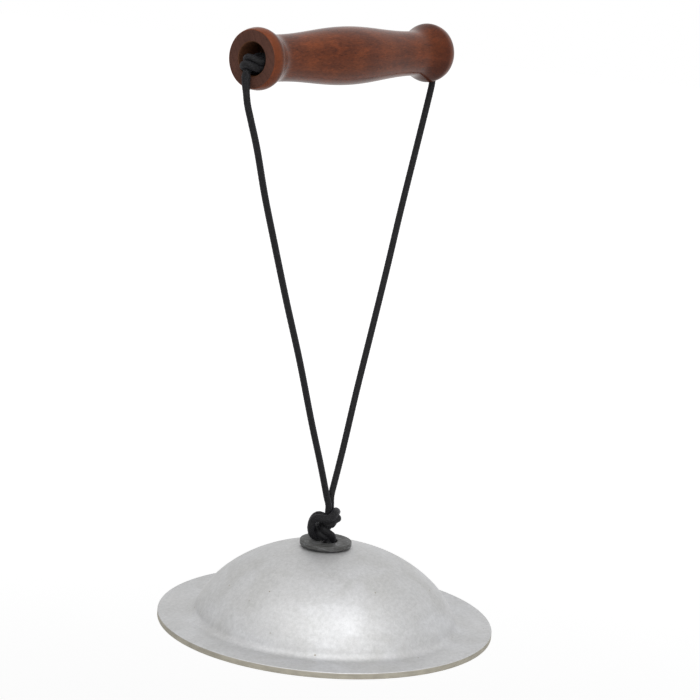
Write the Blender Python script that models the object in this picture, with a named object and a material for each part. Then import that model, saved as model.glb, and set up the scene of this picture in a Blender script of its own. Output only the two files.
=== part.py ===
"""Hand-held bell cymbal: a thick domed aluminium bell hung from a turned wooden handle by one
loop of braided cord. Metres, +Z up, X along the handle, origin at the middle of the handle."""
import math

import bmesh
import bpy
import numpy as np
from mathutils import Matrix, Vector

MM = 0.001

# Gap left between pieces that touch
GAP = 0.3 * MM

# Handle: a turned grip, widest at the palm and at the two end flanges, counterbored at both ends
HANDLE_LENGTH = 152.0 * MM
GRIP_RADIUS = 14.95 * MM
NECK_RADIUS = 11.7 * MM
NECK_INSET = 20.0 * MM
FLANGE_RADIUS = 15.55 * MM
FLANGE_INSET = 4.7 * MM
FLANGE_LATENESS = 1.45
FACE_RADIUS = 14.5 * MM
COUNTERBORE_RADIUS = 8.5 * MM
COUNTERBORE_DEPTH = 17.0 * MM
COUNTERBORE_CHAMFER = 0.4 * MM
COUNTERBORE_CORNER = 1.0 * MM
BORE_RADIUS = 4.0 * MM
BORE_CHAMFER = 0.8 * MM
GRIP_POINTS = 8
FLANGE_POINTS = 6
LIP_POINTS = 4
HANDLE_STEPS = 36

# Bell: a spun and turned dome of even wall with a flat brim
BELL_RADIUS = 88.9 * MM
BELL_HEIGHT = 43.1 * MM
BELL_WALL = 3.4 * MM
DOME_RADIUS = 69.6 * MM
DOME_ROUNDNESS = 2.15
DOME_FLATNESS = 1.53
BRIM_FILLET = 5.0 * MM
BRIM_EDGE_ROUND = 0.6 * MM
UNDER_EDGE_ROUND = 1.6 * MM
BELL_HOLE_RADIUS = 6.0 * MM
HOLE_CHAMFER = 0.4 * MM
DOME_POINTS = 12
FINE_DOME_POINTS = 600
FILLET_POINTS = 5
ROUND_POINTS = 3
BELL_STEPS = 76

# How the bell hangs: its rim's drop below the handle's axis, its lean on the cord, and how far its
# weight stands off plumb below the legs' junction
BELL_DROP = 301.3 * MM
LEAN_TO_X = math.radians(-1.58)
LEAN_TO_Y = math.radians(-2.5)
SWAY_X = 2.0 * MM
SWAY_Y = -0.5 * MM

# Washers: flat rings above and below the bell's hole, the upper one slipped to one side
WASHER_OUTER = 13.7 * MM
WASHER_INNER = 6.25 * MM
WASHER_THICK = 2.5 * MM
WASHER_ROUND = 0.35 * MM
WASHER_SLIP_X = -1.5 * MM
WASHER_SLIP_Y = 2.0 * MM
WASHER_ROUND_POINTS = 2
WASHER_STEPS = 36

# Cord: one braided loop, laid two cords side by side wherever it is doubled
CORD_D = 3.1 * MM
CORD_SPARE = 0.44 * MM
CORD_PITCH = CORD_D + CORD_SPARE
CORD_RESOLUTION = 2

# The two legs meet here, beside each other, and run on into the upper knot
JUNCTION_X = 6.6 * MM
JUNCTION_DROP = 231.0 * MM
JUNCTION_HALF = 2.15 * MM

# Routes of the legs over the handle's lips: (share of half the handle, share of the drop)
LEFT_LEG_ROUTE = (
    (-1.0388, 0.0714), (-1.0184, 0.0987), (-0.9776, 0.1312), (-0.8961, 0.1965),
    (-0.7947, 0.2952), (-0.6750, 0.3961), (-0.5079, 0.5333), (-0.3276, 0.6740),
    (-0.1618, 0.8169), (-0.0289, 0.9242),
)
RIGHT_LEG_ROUTE = (
    (0.9447, 0.0229), (0.9895, 0.0266), (1.0145, 0.0307), (1.0263, 0.0385), (1.0283, 0.0519),
    (1.0237, 0.0714), (1.0092, 0.0887), (0.9776, 0.1216), (0.8750, 0.2242), (0.7382, 0.3606),
    (0.6105, 0.4970), (0.4763, 0.6325), (0.3408, 0.7675), (0.2158, 0.9026),
)
LEFT_LEG_POINTS = 30
RIGHT_LEG_POINTS = 38

# The strand lies on the bottom of the bore: (share of half the handle, millimetres below the axis)
BORE_STRAND_ROUTE = (
    (-0.3947, 2.1), (0.0, 2.1), (0.3947, 2.1), (0.6842, 2.1), (0.7895, 2.4), (0.8684, 3.6),
    (0.9408, 5.2),
)
BORE_STRAND_POINTS = 18

# Overhand knot in two cords laid side by side: its slack route in cord pitches from the middle
# of the washer's top face, to the right, up and towards the front as the bell is seen, and how
# far the pair of cords is rolled about it there, in degrees
KNOT_ROUTE = (
    (0.10, 6.80, -0.50, 0), (0.30, 5.30, -0.50, 0), (0.50, 4.10, -0.75, 0),
    (0.45, 2.90, -1.05, 0), (0.10, 1.75, -1.10, 0), (-0.60, 0.95, -0.70, -15),
    (-1.55, 0.80, 0.10, -40), (-2.30, 1.45, 0.60, -55), (-2.50, 2.60, 0.80, -55),
    (-2.00, 3.80, 0.90, -55), (-1.00, 3.90, 1.20, -58), (0.00, 3.25, 1.60, -70),
    (0.95, 3.90, 1.35, -80), (1.60, 4.35, 0.20, -85), (1.40, 4.00, -1.40, -85),
    (0.40, 3.10, -2.50, -85), (-0.80, 2.60, -2.30, -85), (-1.45, 2.30, -1.00, -85),
    (-1.35, 2.00, 0.50, -85), (-0.75, 1.50, 1.50, -85), (0.15, 0.90, 1.40, -85),
    (0.50, 0.00, 0.50, -85), (0.50, -0.68, 0.10, -85),
)
KNOT_ACROSS = (0.1, 0.0, 0.995)
KNOT_TURN_ANGLE = math.radians(52.8)
KNOT_POINTS = 110
KNOT_ROUND_COUNT = 400
KNOT_SHORTEN_FACTOR = 0.9999
KNOT_BODY_SHARE = 0.8
KNOT_ROOM = 2.3 * MM
KNOT_TOP = 17.6 * MM
STRAND_END = 1.2 * MM
STRAND_POINTS = 44

# The cord's bight below the lower knot: its length, and half its width
BIGHT_LENGTH = 8.5 * MM
BIGHT_HALF = 4.2 * MM
BIGHT_SHAPE = ((-0.8, 0.45), (-0.85, 0.75), (0.0, 1.0), (0.85, 0.75), (0.8, 0.45))
BIGHT_POINTS = 40
LOWER_KNOT_POINTS = 100

# The same knot joins the cord's two ends in the counterbore: its slack route in cord pitches from
# the middle of the end face, to the right, up and outwards as the face is seen
JOINING_ROUTE = (
    (0.924, 1.440, -2.527), (0.978, 0.761, -2.065), (0.761, 0.054, -2.065),
    (0.489, -1.005, -1.957), (-0.408, -1.821, -1.821), (-1.821, -1.603, -1.467),
    (-2.636, -0.190, -1.250), (-1.929, 1.332, -1.005), (-0.516, 1.332, -0.299),
    (0.870, 0.761, 0.054), (2.391, 0.272, -0.652), (2.391, -0.190, -2.527),
    (0.870, -0.190, -3.587), (-0.761, -0.082, -3.125), (-1.359, -0.299, -1.603),
    (-0.652, -1.114, -0.299), (0.163, -2.065, -0.435),
)
JOINING_ACROSS = (0.6, 0.0, -0.8)
JOINING_POINTS = 110
JOINING_BODY_POINTS = 90
JOINING_ROUND_COUNT = 900
JOINING_SHORTEN_FACTOR = 0.9994
JOINING_BODY_SHARE = 0.78
JOINING_DEPTH = 14.5
JOINING_OUT = 2.2
FACE_CLEAR = 1.9
LEG_OUT = ((0.0, -11.5, 3.4), (0.0, -16.0, 3.4), (0.0, -20.0, 3.4))
BORE_IN = ((1.0, -5.5, -8.0), (0.3, -2.3, -15.0), (0.0, -2.1, -21.0))
LEG_CUT = -11.0
LEG_END_POINTS = 44
BORE_END_POINTS = 46
NECK_POINTS = 9


def clear_scene():
    for obj in list(bpy.data.objects):
        bpy.data.objects.remove(obj, do_unlink=True)


def material(name, colour, roughness, metallic):
    made = bpy.data.materials.new(name)
    made.use_nodes = True
    shader = made.node_tree.nodes["Principled BSDF"]
    shader.inputs["Base Color"].default_value = (*colour, 1.0)
    shader.inputs["Roughness"].default_value = roughness
    shader.inputs["Metallic"].default_value = metallic
    made.diffuse_color = (*colour, 1.0)
    return made


def link(name, data, finish):
    obj = bpy.data.objects.new(name, data)
    bpy.context.scene.collection.objects.link(obj)
    obj.data.materials.append(finish)
    return obj


def turned(name, outline, steps, place, finish):
    """A closed outline of (radius, height) turned round the third axis of `place`."""
    mesh = bpy.data.meshes.new(name)
    form = bmesh.new()
    rings = []
    for step in range(steps):
        angle = 2 * math.pi * step / steps
        turn = (math.cos(angle), math.sin(angle))
        ring = [form.verts.new(place @ Vector((r * turn[0], r * turn[1], z))) for r, z in outline]
        rings.append(ring)
    count = len(outline)
    for step in range(steps):
        here = rings[step]
        there = rings[(step + 1) % steps]
        for k in range(count):
            after = (k + 1) % count
            form.faces.new((here[k], there[k], there[after], here[after]))
    bmesh.ops.recalc_face_normals(form, faces=form.faces[:])
    form.to_mesh(mesh)
    form.free()
    for face in mesh.polygons:
        face.use_smooth = True
    mesh.set_sharp_from_angle(angle=math.radians(35))
    return link(name, mesh, finish)


def tube(name, points, finish):
    """A round cord along the points, with its two ends closed."""
    curve = bpy.data.curves.new(name, "CURVE")
    curve.dimensions = "3D"
    curve.bevel_depth = CORD_D / 2
    curve.bevel_resolution = CORD_RESOLUTION
    curve.use_fill_caps = True
    spline = curve.splines.new("POLY")
    spline.points.add(len(points) - 1)
    for point, place in zip(spline.points, points):
        point.co = (*place, 1.0)
    spline.use_smooth = True
    return link(name, curve, finish)


def smooth_route(route, count):
    """`count` evenly spaced points on one smooth curve through the route."""
    route = np.asarray(route, float)
    ends = np.vstack([2 * route[0] - route[1], route, 2 * route[-1] - route[-2]])
    fine = []
    for k in range(1, len(ends) - 2):
        a, b, c, d = ends[k - 1:k + 3]
        for t in np.linspace(0, 1, 24, endpoint=False):
            bend = (2 * a - 5 * b + 4 * c - d) * t * t + (-a + 3 * b - 3 * c + d) * t ** 3
            fine.append(0.5 * (2 * b + (c - a) * t + bend))
    fine.append(route[-1])
    return evenly(np.array(fine), count)


def evenly(points, count):
    lengths = np.r_[0, np.cumsum(np.linalg.norm(np.diff(points, axis=0), axis=1))]
    stops = np.linspace(0, lengths[-1], count)
    return np.stack([np.interp(stops, lengths, points[:, k]) for k in range(3)], axis=1)


def with_straight_ends(points, count):
    """Even points between the first and last, which stay where they are."""
    return np.vstack([points[0], evenly(points[1:-1], count - 2), points[-1]])


def route_length(points):
    return float(np.linalg.norm(np.diff(points, axis=0), axis=1).sum())


def unit(way):
    return way / np.linalg.norm(way)


def side_by_side(route, rolls, count, across):
    """Two cords laid side by side along a route, lying along `across` where it starts.

    The pair is rolled about the route by the degrees given for each of its points."""
    middle = smooth_route(route, count)
    along = np.gradient(middle, axis=0)
    along /= np.linalg.norm(along, axis=1)[:, None]
    stops = np.r_[0, np.cumsum(np.linalg.norm(np.diff(route, axis=0), axis=1))]
    turns = np.radians(np.interp(np.linspace(0, stops[-1], count), stops, rolls))
    carried = np.zeros_like(middle)
    side = np.asarray(across, float)
    for k in range(count):
        side = unit(side - along[k] * (side @ along[k]))
        carried[k] = side * math.cos(turns[k]) + np.cross(along[k], side) * math.sin(turns[k])
    half = CORD_PITCH / MM / 2
    return middle + carried * half, middle - carried * half


def tightened(first, second, rounds, shorten, led, keep_clear):
    """Draws two cords tight: they shorten, stay a pitch apart and round off their bends.

    Their last points are held, and the points in `led` only move up or down."""
    pitch = CORD_PITCH / MM
    count = len(first)
    points = np.vstack([first, second])
    step = np.linalg.norm(np.diff(first, axis=0), axis=1).mean()
    index = np.arange(2 * count)
    same = index[:, None] // count == index[None, :] // count
    apart = abs(index[:, None] - index[None, :])
    held = [count - 2, count - 1, 2 * count - 2, 2 * count - 1]
    start = points[held].copy()
    lead = points[led].copy()
    cords = (slice(0, count), slice(count, 2 * count))
    settle_from = 0.8 * rounds
    for turn in range(rounds):
        if turn < settle_from:
            step *= shorten
        near = (~same) | (apart > math.ceil(1.25 * pitch / step))
        # Cords that are too close push each other apart
        for _ in range(2):
            lines = points[:, None] - points[None]
            gaps = np.linalg.norm(lines, axis=2) + 1e-9
            close = near & (gaps < pitch)
            push = np.where(close, (pitch - gaps) / 2, 0) / gaps
            share = np.maximum(close.sum(axis=1), 1)[:, None]
            points = points + (lines * push[..., None]).sum(axis=1) / share
        # Each cord keeps its length
        for _ in range(4):
            for cord in cords:
                part = points[cord]
                for odd in (0, 1):
                    k = np.arange(odd, count - 1, 2)
                    line = part[k + 1] - part[k]
                    size = np.linalg.norm(line, axis=1)[:, None]
                    move = line / size * (size - step) / 2
                    part[k] += move
                    part[k + 1] -= move
                points[cord] = part
        # Each cord rounds off its bends
        for cord in cords:
            part = points[cord]
            part[1:-1] += ((part[:-2] + part[2:]) / 2 - part[1:-1]) * 0.25
            points[cord] = part
        points = keep_clear(points, count)
        points[held] = start
        points[led, 0] = lead[:, 0]
        points[led, 2] = lead[:, 2]
    return points[:count], points[count:]


def least_gap(cords, label):
    """Prints the least clear gap between the surfaces of the cords, and of each to itself."""
    pitch = CORD_PITCH / MM
    fine = [evenly(cord, 3 * len(cord)) for cord in cords]
    every = np.vstack(fine)
    owner = np.concatenate([np.full(len(cord), k) for k, cord in enumerate(fine)])
    place = np.concatenate([np.linspace(0, route_length(cord), len(cord)) for cord in fine])
    gaps = np.linalg.norm(every[:, None] - every[None], axis=2)
    beside = (owner[:, None] == owner[None]) & (abs(place[:, None] - place[None]) < 1.6 * pitch)
    least = gaps[~beside].min() - CORD_D / MM
    print(f"{label}: least gap of the cord to itself {least:.2f} mm")


def arc(centre, radius, start, stop, count):
    angles = np.linspace(math.radians(start), math.radians(stop), count)
    return [(centre[0] + radius * math.cos(a), centre[1] + radius * math.sin(a)) for a in angles]


def dome_line():
    """The dome's outer line from the crown down to where it stands upright on the brim."""
    angles = np.linspace(0, math.pi / 2, FINE_DOME_POINTS)
    r = DOME_RADIUS * np.sin(angles) ** (2 / DOME_ROUNDNESS)
    rise = BELL_HEIGHT - BELL_WALL
    z = BELL_WALL + rise * np.cos(angles) ** (2 / DOME_FLATNESS)
    return np.stack([r, z], axis=1)


def spread(line, count):
    """`count` points of a line, closer together where it turns faster."""
    slope = np.gradient(line, axis=0)
    slope /= np.linalg.norm(slope, axis=1)[:, None]
    turning = np.linalg.norm(np.diff(slope, axis=0), axis=1)
    length = np.linalg.norm(np.diff(line, axis=0), axis=1)
    weight = np.r_[0, np.cumsum(turning / turning.sum() + length / length.sum())]
    stops = np.linspace(0, weight[-1], count)
    picked = [np.interp(stops, weight, line[:, k]) for k in range(2)]
    return [(float(r), float(z)) for r, z in zip(*picked)]


def fillet_middle(line):
    """Centre of the fillet that touches both the dome's line and the brim's flat top."""
    low, high = DOME_RADIUS - BRIM_FILLET, DOME_RADIUS + 2 * BRIM_FILLET
    for _ in range(50):
        middle = (low + high) / 2
        centre = np.array([middle, BELL_WALL + BRIM_FILLET])
        if np.linalg.norm(line - centre, axis=1).min() < BRIM_FILLET:
            low = middle
        else:
            high = middle
    return centre


def inner_dome(line):
    """The dome's inner line, one wall inside the outer one."""
    slope = np.gradient(line, axis=0)
    normal = np.stack([slope[:, 1], -slope[:, 0]], axis=1)
    normal /= np.linalg.norm(normal, axis=1)[:, None]
    return line + normal * BELL_WALL


def bell_outline():
    """Closed outline of the bell's wall, as (radius, height) above the rim's under side."""
    line = dome_line()
    hole = BELL_HOLE_RADIUS + HOLE_CHAMFER
    centre = fillet_middle(line)
    touch = int(np.linalg.norm(line - centre, axis=1).argmin())
    flank = line[:touch + 1]
    outer = spread(flank[flank[:, 0] > hole], DOME_POINTS)
    to_touch = line[touch] - centre
    start = math.degrees(math.atan2(to_touch[1], to_touch[0])) % 360
    outer += arc(centre, BRIM_FILLET, start, 270, FILLET_POINTS)[1:]
    edge = BELL_RADIUS - BRIM_EDGE_ROUND
    outer += arc((edge, BELL_WALL - BRIM_EDGE_ROUND), BRIM_EDGE_ROUND, 90, 0, ROUND_POINTS)
    outer += arc((edge, BRIM_EDGE_ROUND), BRIM_EDGE_ROUND, 0, -90, ROUND_POINTS)
    under = inner_dome(line)
    foot_middle = (under[-1][0] + UNDER_EDGE_ROUND, UNDER_EDGE_ROUND)
    foot = arc(foot_middle, UNDER_EDGE_ROUND, 270, 180, ROUND_POINTS + 1)
    inner = spread(under[under[:, 0] > hole], DOME_POINTS)[::-1]
    hole_wall = [
        (BELL_HOLE_RADIUS, inner[-1][1] + HOLE_CHAMFER),
        (BELL_HOLE_RADIUS, outer[0][1] - HOLE_CHAMFER),
    ]
    return outer + foot + inner + hole_wall


def handle_outline():
    """Closed outline of the handle's wall, as (radius, distance along from the middle)."""
    end = HANDLE_LENGTH / 2
    neck = end - NECK_INSET
    half = []
    for share in np.linspace(0, 1, GRIP_POINTS):
        ease = 0.5 + 0.5 * math.cos(math.pi * share)
        half.append((NECK_RADIUS + (GRIP_RADIUS - NECK_RADIUS) * ease, neck * share))
    for share in np.linspace(0, 1, FLANGE_POINTS + 1)[1:]:
        late = share ** FLANGE_LATENESS
        ease = late * late * (3 - 2 * late)
        along = neck + (NECK_INSET - FLANGE_INSET) * share
        half.append((NECK_RADIUS + (FLANGE_RADIUS - NECK_RADIUS) * ease, along))
    for share in np.linspace(0, 1, LIP_POINTS + 1)[1:]:
        fall = (FLANGE_RADIUS - FACE_RADIUS) * share * share
        half.append((FLANGE_RADIUS - fall, end - FLANGE_INSET * (1 - share)))
    floor = end - COUNTERBORE_DEPTH
    half += [
        (COUNTERBORE_RADIUS + COUNTERBORE_CHAMFER, end),
        (COUNTERBORE_RADIUS, end - COUNTERBORE_CHAMFER),
        (COUNTERBORE_RADIUS, floor + COUNTERBORE_CORNER),
        (COUNTERBORE_RADIUS - COUNTERBORE_CORNER, floor),
        (BORE_RADIUS + BORE_CHAMFER, floor),
        (BORE_RADIUS, floor - BORE_CHAMFER),
    ]
    mirrored = [(r, -x) for r, x in half[1:]]
    return half + mirrored[::-1]


def washer_outline():
    half = WASHER_THICK / 2 - WASHER_ROUND
    edge = WASHER_OUTER - WASHER_ROUND
    hole = WASHER_INNER + WASHER_ROUND
    outline = arc((edge, half), WASHER_ROUND, 90, 0, WASHER_ROUND_POINTS)
    outline += arc((edge, -half), WASHER_ROUND, 0, -90, WASHER_ROUND_POINTS)
    outline += arc((hole, -half), WASHER_ROUND, 270, 180, WASHER_ROUND_POINTS)
    outline += arc((hole, half), WASHER_ROUND, 180, 90, WASHER_ROUND_POINTS)
    return outline


def centre_height(outline):
    """Height of the centre of mass of the ring that a closed outline makes when turned."""
    volume = 0.0
    moment = 0.0
    for (r0, z0), (r1, z1) in zip(outline, outline[1:] + outline[:1]):
        cross = r0 * z1 - r1 * z0
        volume += cross * (r0 + r1)
        moment += cross * (z0 * (2 * r0 + r1) + z1 * (r0 + 2 * r1)) / 4
    return moment / volume


def hermite(start, start_way, stop, stop_way, count):
    """A smooth curve that leaves and arrives along the two ways."""
    out = []
    for t in np.linspace(0, 1, count):
        near = (2 * t ** 3 - 3 * t ** 2 + 1) * start + (t ** 3 - 2 * t ** 2 + t) * start_way
        far = (3 * t ** 2 - 2 * t ** 3) * stop + (t ** 3 - t ** 2) * stop_way
        out.append(near + far)
    return np.array(out)


def kept_apart(first, second):
    """The lines of two cords, moved apart wherever they come closer than a pitch."""
    middle = (first + second) / 2
    away = (first - second) / 2
    reach = np.linalg.norm(away, axis=1)[:, None]
    away = away * np.maximum(CORD_PITCH / 2 / reach, 1)
    return middle + away, middle - away


def leg_points(route):
    """World points of a leg's route, in the handle's upright plane."""
    half = HANDLE_LENGTH / 2
    return [np.array([along * half, 0.0, -down * JUNCTION_DROP]) for along, down in route]


clear_scene()

WOOD = material("stained_wood", (0.19, 0.065, 0.035), 0.32, 0.0)
METAL = material("blasted_aluminium", (0.78, 0.79, 0.81), 0.42, 1.0)
WASHER = material("dark_rubber", (0.07, 0.07, 0.068), 0.6, 0.0)
CORD = material("black_braid", (0.02, 0.02, 0.022), 0.75, 0.0)

# The handle lies along X
ALONG_X = Matrix.Rotation(math.radians(90), 4, "Y")
turned("handle", handle_outline(), HANDLE_STEPS, ALONG_X, WOOD)

# The bell hangs under the legs' junction and leans a little on its cord
BELL = bell_outline()
MASS_HEIGHT = centre_height(BELL)
LEAN = Matrix.Rotation(-LEAN_TO_Y, 4, "X") @ Matrix.Rotation(LEAN_TO_X, 4, "Y")
AXIS = LEAN @ Vector((0, 0, 1))
MASS_PLACE = Vector((JUNCTION_X + SWAY_X, SWAY_Y, MASS_HEIGHT * AXIS.z - BELL_DROP))
RIM_CENTRE = MASS_PLACE - AXIS * MASS_HEIGHT
BELL_PLACE = Matrix.Translation(RIM_CENTRE) @ LEAN
turned("bell", BELL, BELL_STEPS, BELL_PLACE, METAL)

# The upper washer lies on the crown, and the lower one bears on the dome's inside at its edge
SLIP = Vector((WASHER_SLIP_X, WASHER_SLIP_Y, 0))
UPPER_LEVEL = BELL_HEIGHT + GAP
INSIDE = inner_dome(dome_line())
LOWER_LEVEL = float(np.interp(WASHER_OUTER, INSIDE[:, 0], INSIDE[:, 1])) - GAP
UPPER_CENTRE = SLIP + Vector((0, 0, UPPER_LEVEL + WASHER_THICK / 2))
LOWER_CENTRE = Vector((0, 0, LOWER_LEVEL - WASHER_THICK / 2))
for name, centre in (("upper_washer", UPPER_CENTRE), ("lower_washer", LOWER_CENTRE)):
    place = BELL_PLACE @ Matrix.Translation(centre)
    turned(name, washer_outline(), WASHER_STEPS, place, WASHER)

# The knot is worked out in millimetres as it is seen from the front, then placed on the washer
SEEN = np.array([
    [math.cos(KNOT_TURN_ANGLE), 0.0, -math.sin(KNOT_TURN_ANGLE)],
    [-math.sin(KNOT_TURN_ANGLE), 0.0, -math.cos(KNOT_TURN_ANGLE)],
    [0.0, 1.0, 0.0],
])
UP = np.array([0.0, 1.0, 0.0])
KNOT_BASE = BELL_PLACE @ Matrix.Translation(SLIP + Vector((0, 0, UPPER_LEVEL + WASHER_THICK)))
KNOT_FLOOR = (CORD_D / 2 + GAP) / MM
KNOT_MIDDLE = (LOWER_LEVEL - UPPER_LEVEL - 2 * WASHER_THICK) / MM / 2
knot_route = np.array(KNOT_ROUTE)[:, :3] * CORD_PITCH / MM
knot_rolls = [roll for *_, roll in KNOT_ROUTE]
KNOT_HOLE = knot_route[-1] * (1, 0, 1)
knot_route = np.vstack([knot_route, KNOT_HOLE + UP * KNOT_MIDDLE])
knot_rolls.append(knot_rolls[-1])


def on_washer(points, count):
    """Keeps the cords above the washer, or inside its hole on their way down through it."""
    room = KNOT_ROOM / MM
    for cord in (0, count):
        body = slice(cord, cord + int(KNOT_BODY_SHARE * count))
        points[body, 1] = np.maximum(points[body, 1], KNOT_FLOOR)
        tail = np.arange(cord + int(KNOT_BODY_SHARE * count), cord + count)
        away = (points[tail] - KNOT_HOLE)[:, [0, 2]]
        reach = np.linalg.norm(away, axis=1)
        deep = (points[tail, 1] < KNOT_FLOOR) & (reach > room)
        drawn_in = away[deep] * (room / reach[deep])[:, None]
        points[np.ix_(tail[deep], [0, 2])] = KNOT_HOLE[[0, 2]] + drawn_in
    return points


def knot_place(points):
    """World places of knot points seen from the front, in the bell's own frame."""
    return np.array([KNOT_BASE @ Vector(SEEN @ point * MM) for point in points])


def washer_gap(points, washer):
    """Least gap between a cord along the points and a washer given by its middle, low and high."""
    middle, low, high = washer
    reach = np.linalg.norm((points - middle)[:, [0, 2]], axis=1)
    aside = np.maximum(np.maximum(WASHER_INNER / MM - reach, reach - WASHER_OUTER / MM), 0)
    above = np.maximum(np.maximum(points[:, 1] - high, low - points[:, 1]), 0)
    return np.hypot(aside, above).min() - CORD_D / MM / 2


def borne(strands, way, washer):
    """The strands of a knot moved up or down until they bear on a washer."""
    fine = np.vstack([evenly(strand, 4 * len(strand)) for strand in strands])
    near, far = 0.0, CORD_PITCH / MM
    for _ in range(30):
        shift = (near + far) / 2
        if washer_gap(fine + UP * way * shift, washer) > GAP / MM:
            near = shift
        else:
            far = shift
    return [strand + UP * way * near for strand in strands]


def led_through(strand, way):
    """A knot's strand with a straight end in the bell's hole, at the middle of the wall."""
    last = strand[-1] * (1, 0, 1) + UP * (KNOT_MIDDLE + way * GAP / MM / 2)
    body = strand[way * (strand[:, 1] - last[1]) > STRAND_END / MM + 1]
    return np.vstack([body, last + UP * way * STRAND_END / MM, last])


slack = side_by_side(knot_route, knot_rolls, KNOT_POINTS, KNOT_ACROSS)
neck_points = [0, 1, KNOT_POINTS, KNOT_POINTS + 1]
drawn = tightened(*slack, KNOT_ROUND_COUNT, KNOT_SHORTEN_FACTOR, neck_points, on_washer)
least_gap(drawn, "upper knot")
UPPER_RING = (np.zeros(3), -WASHER_THICK / MM, 0.0)
SIDES = ("left", "right")
UPPER_STRANDS = []
for side, strand in zip(SIDES, borne(drawn, -1, UPPER_RING)):
    top = int(np.argmax(strand[:, 1] < KNOT_TOP / MM))
    strand = led_through(strand[top:], 1)
    UPPER_STRANDS.append(strand)
    run = np.vstack([evenly(strand[:-1], STRAND_POINTS - 1), strand[-1]])
    tube(f"upper_knot_{side}_strand", knot_place(run), CORD)

# The lower knot is the same knot turned over about a line through the middle of the bell's wall,
# drawn up under the lower washer, with the cord's bight below it
pivot = (drawn[0][-1] + drawn[1][-1]) / 2 * (1, 0, 1) + UP * KNOT_MIDDLE
turn_line = unit((drawn[0][-1] - drawn[1][-1]) * (1, 0, 1))
turned_over = []
for strand in drawn:
    away = strand[int(np.argmax(strand[:, 1] < KNOT_TOP / MM)):] - pivot
    turned_over.append(pivot + 2 * (away @ turn_line)[:, None] * turn_line - away)
BELL_MIDDLE = SEEN.T @ -np.array(SLIP) / MM
LOWER_RING = (BELL_MIDDLE, 2 * KNOT_MIDDLE, 2 * KNOT_MIDDLE + WASHER_THICK / MM)
turned_over = [led_through(strand, -1) for strand in borne(turned_over, 1, LOWER_RING)]
one_end, other_end = turned_over[0][0], turned_over[1][0]
aside = unit(other_end - one_end) * BIGHT_HALF / MM
under = -UP * BIGHT_LENGTH / MM
bight = [(one_end + other_end) / 2 + aside * wide + under * deep for wide, deep in BIGHT_SHAPE]
first, second = turned_over[0][::-1], turned_over[1]
window = np.vstack([first[-3], first[-1], bight, second[0], second[2]])
rounded = smooth_route(window, BIGHT_POINTS)
lower = np.vstack([first[:-3], rounded, second[3:]])
least_gap([evenly(lower, 2 * KNOT_POINTS)], "lower knot")
tube("lower_knot", knot_place(with_straight_ends(lower, LOWER_KNOT_POINTS)), CORD)

# Neck: the two legs' cords run side by side from the legs' junction into the upper knot
JUNCTION = np.array([JUNCTION_X, 0.0, -JUNCTION_DROP])
LEG_ENDS = {"left": np.array([-JUNCTION_HALF, 0, 0]), "right": np.array([JUNCTION_HALF, 0, 0])}
LEG_ROUTES = {"left": leg_points(LEFT_LEG_ROUTE), "right": leg_points(RIGHT_LEG_ROUTE)}
neck_lines = []
for side, strand in zip(SIDES, UPPER_STRANDS):
    placed = knot_place(strand[:2])
    out_way = unit(placed[0] - placed[1])
    stop = placed[0] + out_way * GAP
    start = JUNCTION + LEG_ENDS[side] + np.array([0, 0, -GAP])
    way = unit(start - LEG_ROUTES[side][-1])
    reach = np.linalg.norm(stop - start)
    neck_lines.append(hermite(start, way * reach * 0.8, stop, -out_way * reach, NECK_POINTS))
neck_lines = kept_apart(*neck_lines)
for side, line in zip(SIDES, neck_lines):
    tube(f"neck_{side}_strand", line, CORD)
least_gap([line / MM for line in neck_lines], "neck")

# The joining knot sits in the left counterbore; it is worked out in millimetres too
CORD_ROOM = (COUNTERBORE_RADIUS - CORD_D / 2 - GAP) / MM


def in_counterbore(points, count):
    """Keeps the knot inside the counterbore and its leg clear of the end face."""
    reach = np.linalg.norm(points[:, :2], axis=1)
    wide = (points[:, 2] < 0) & (reach > CORD_ROOM)
    points[wide, :2] *= (CORD_ROOM / reach[wide])[:, None]
    for cord in (0, count):
        body = slice(cord, cord + int(JOINING_BODY_SHARE * count))
        points[body, 2] = np.clip(points[body, 2], -JOINING_DEPTH, JOINING_OUT)
    reach = np.linalg.norm(points[:, :2], axis=1)
    near_face = (abs(points[:, 2]) < FACE_CLEAR) & (reach > CORD_ROOM + GAP)
    points[near_face, 2] = FACE_CLEAR
    return points


def end_place(points):
    """World places of points seen from the left end of the handle."""
    return np.array([(-p[2] * MM - HANDLE_LENGTH / 2, -p[0] * MM, p[1] * MM) for p in points])


joining_route = np.array(JOINING_ROUTE) * CORD_PITCH / MM
joining_rolls = [0] * len(joining_route)
pair = side_by_side(joining_route, joining_rolls, JOINING_BODY_POINTS, JOINING_ACROSS)
joined = []
for strand, way_out in zip(pair, (LEG_OUT, BORE_IN)):
    run = smooth_route(np.vstack([strand[-1], way_out]), 12)[1:]
    joined.append(evenly(np.vstack([strand, run]), JOINING_POINTS))
leg_end, bore_end = tightened(*joined, JOINING_ROUND_COUNT, JOINING_SHORTEN_FACTOR, [], in_counterbore)
least_gap((leg_end, bore_end), "joining knot")
cut = len(leg_end) - int(np.argmax(leg_end[::-1, 1] > LEG_CUT))
tube("handle_knot_leg_end", end_place(evenly(leg_end[:cut], LEG_END_POINTS)), CORD)
tube("handle_knot_bore_end", end_place(evenly(bore_end, BORE_END_POINTS)), CORD)

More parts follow.
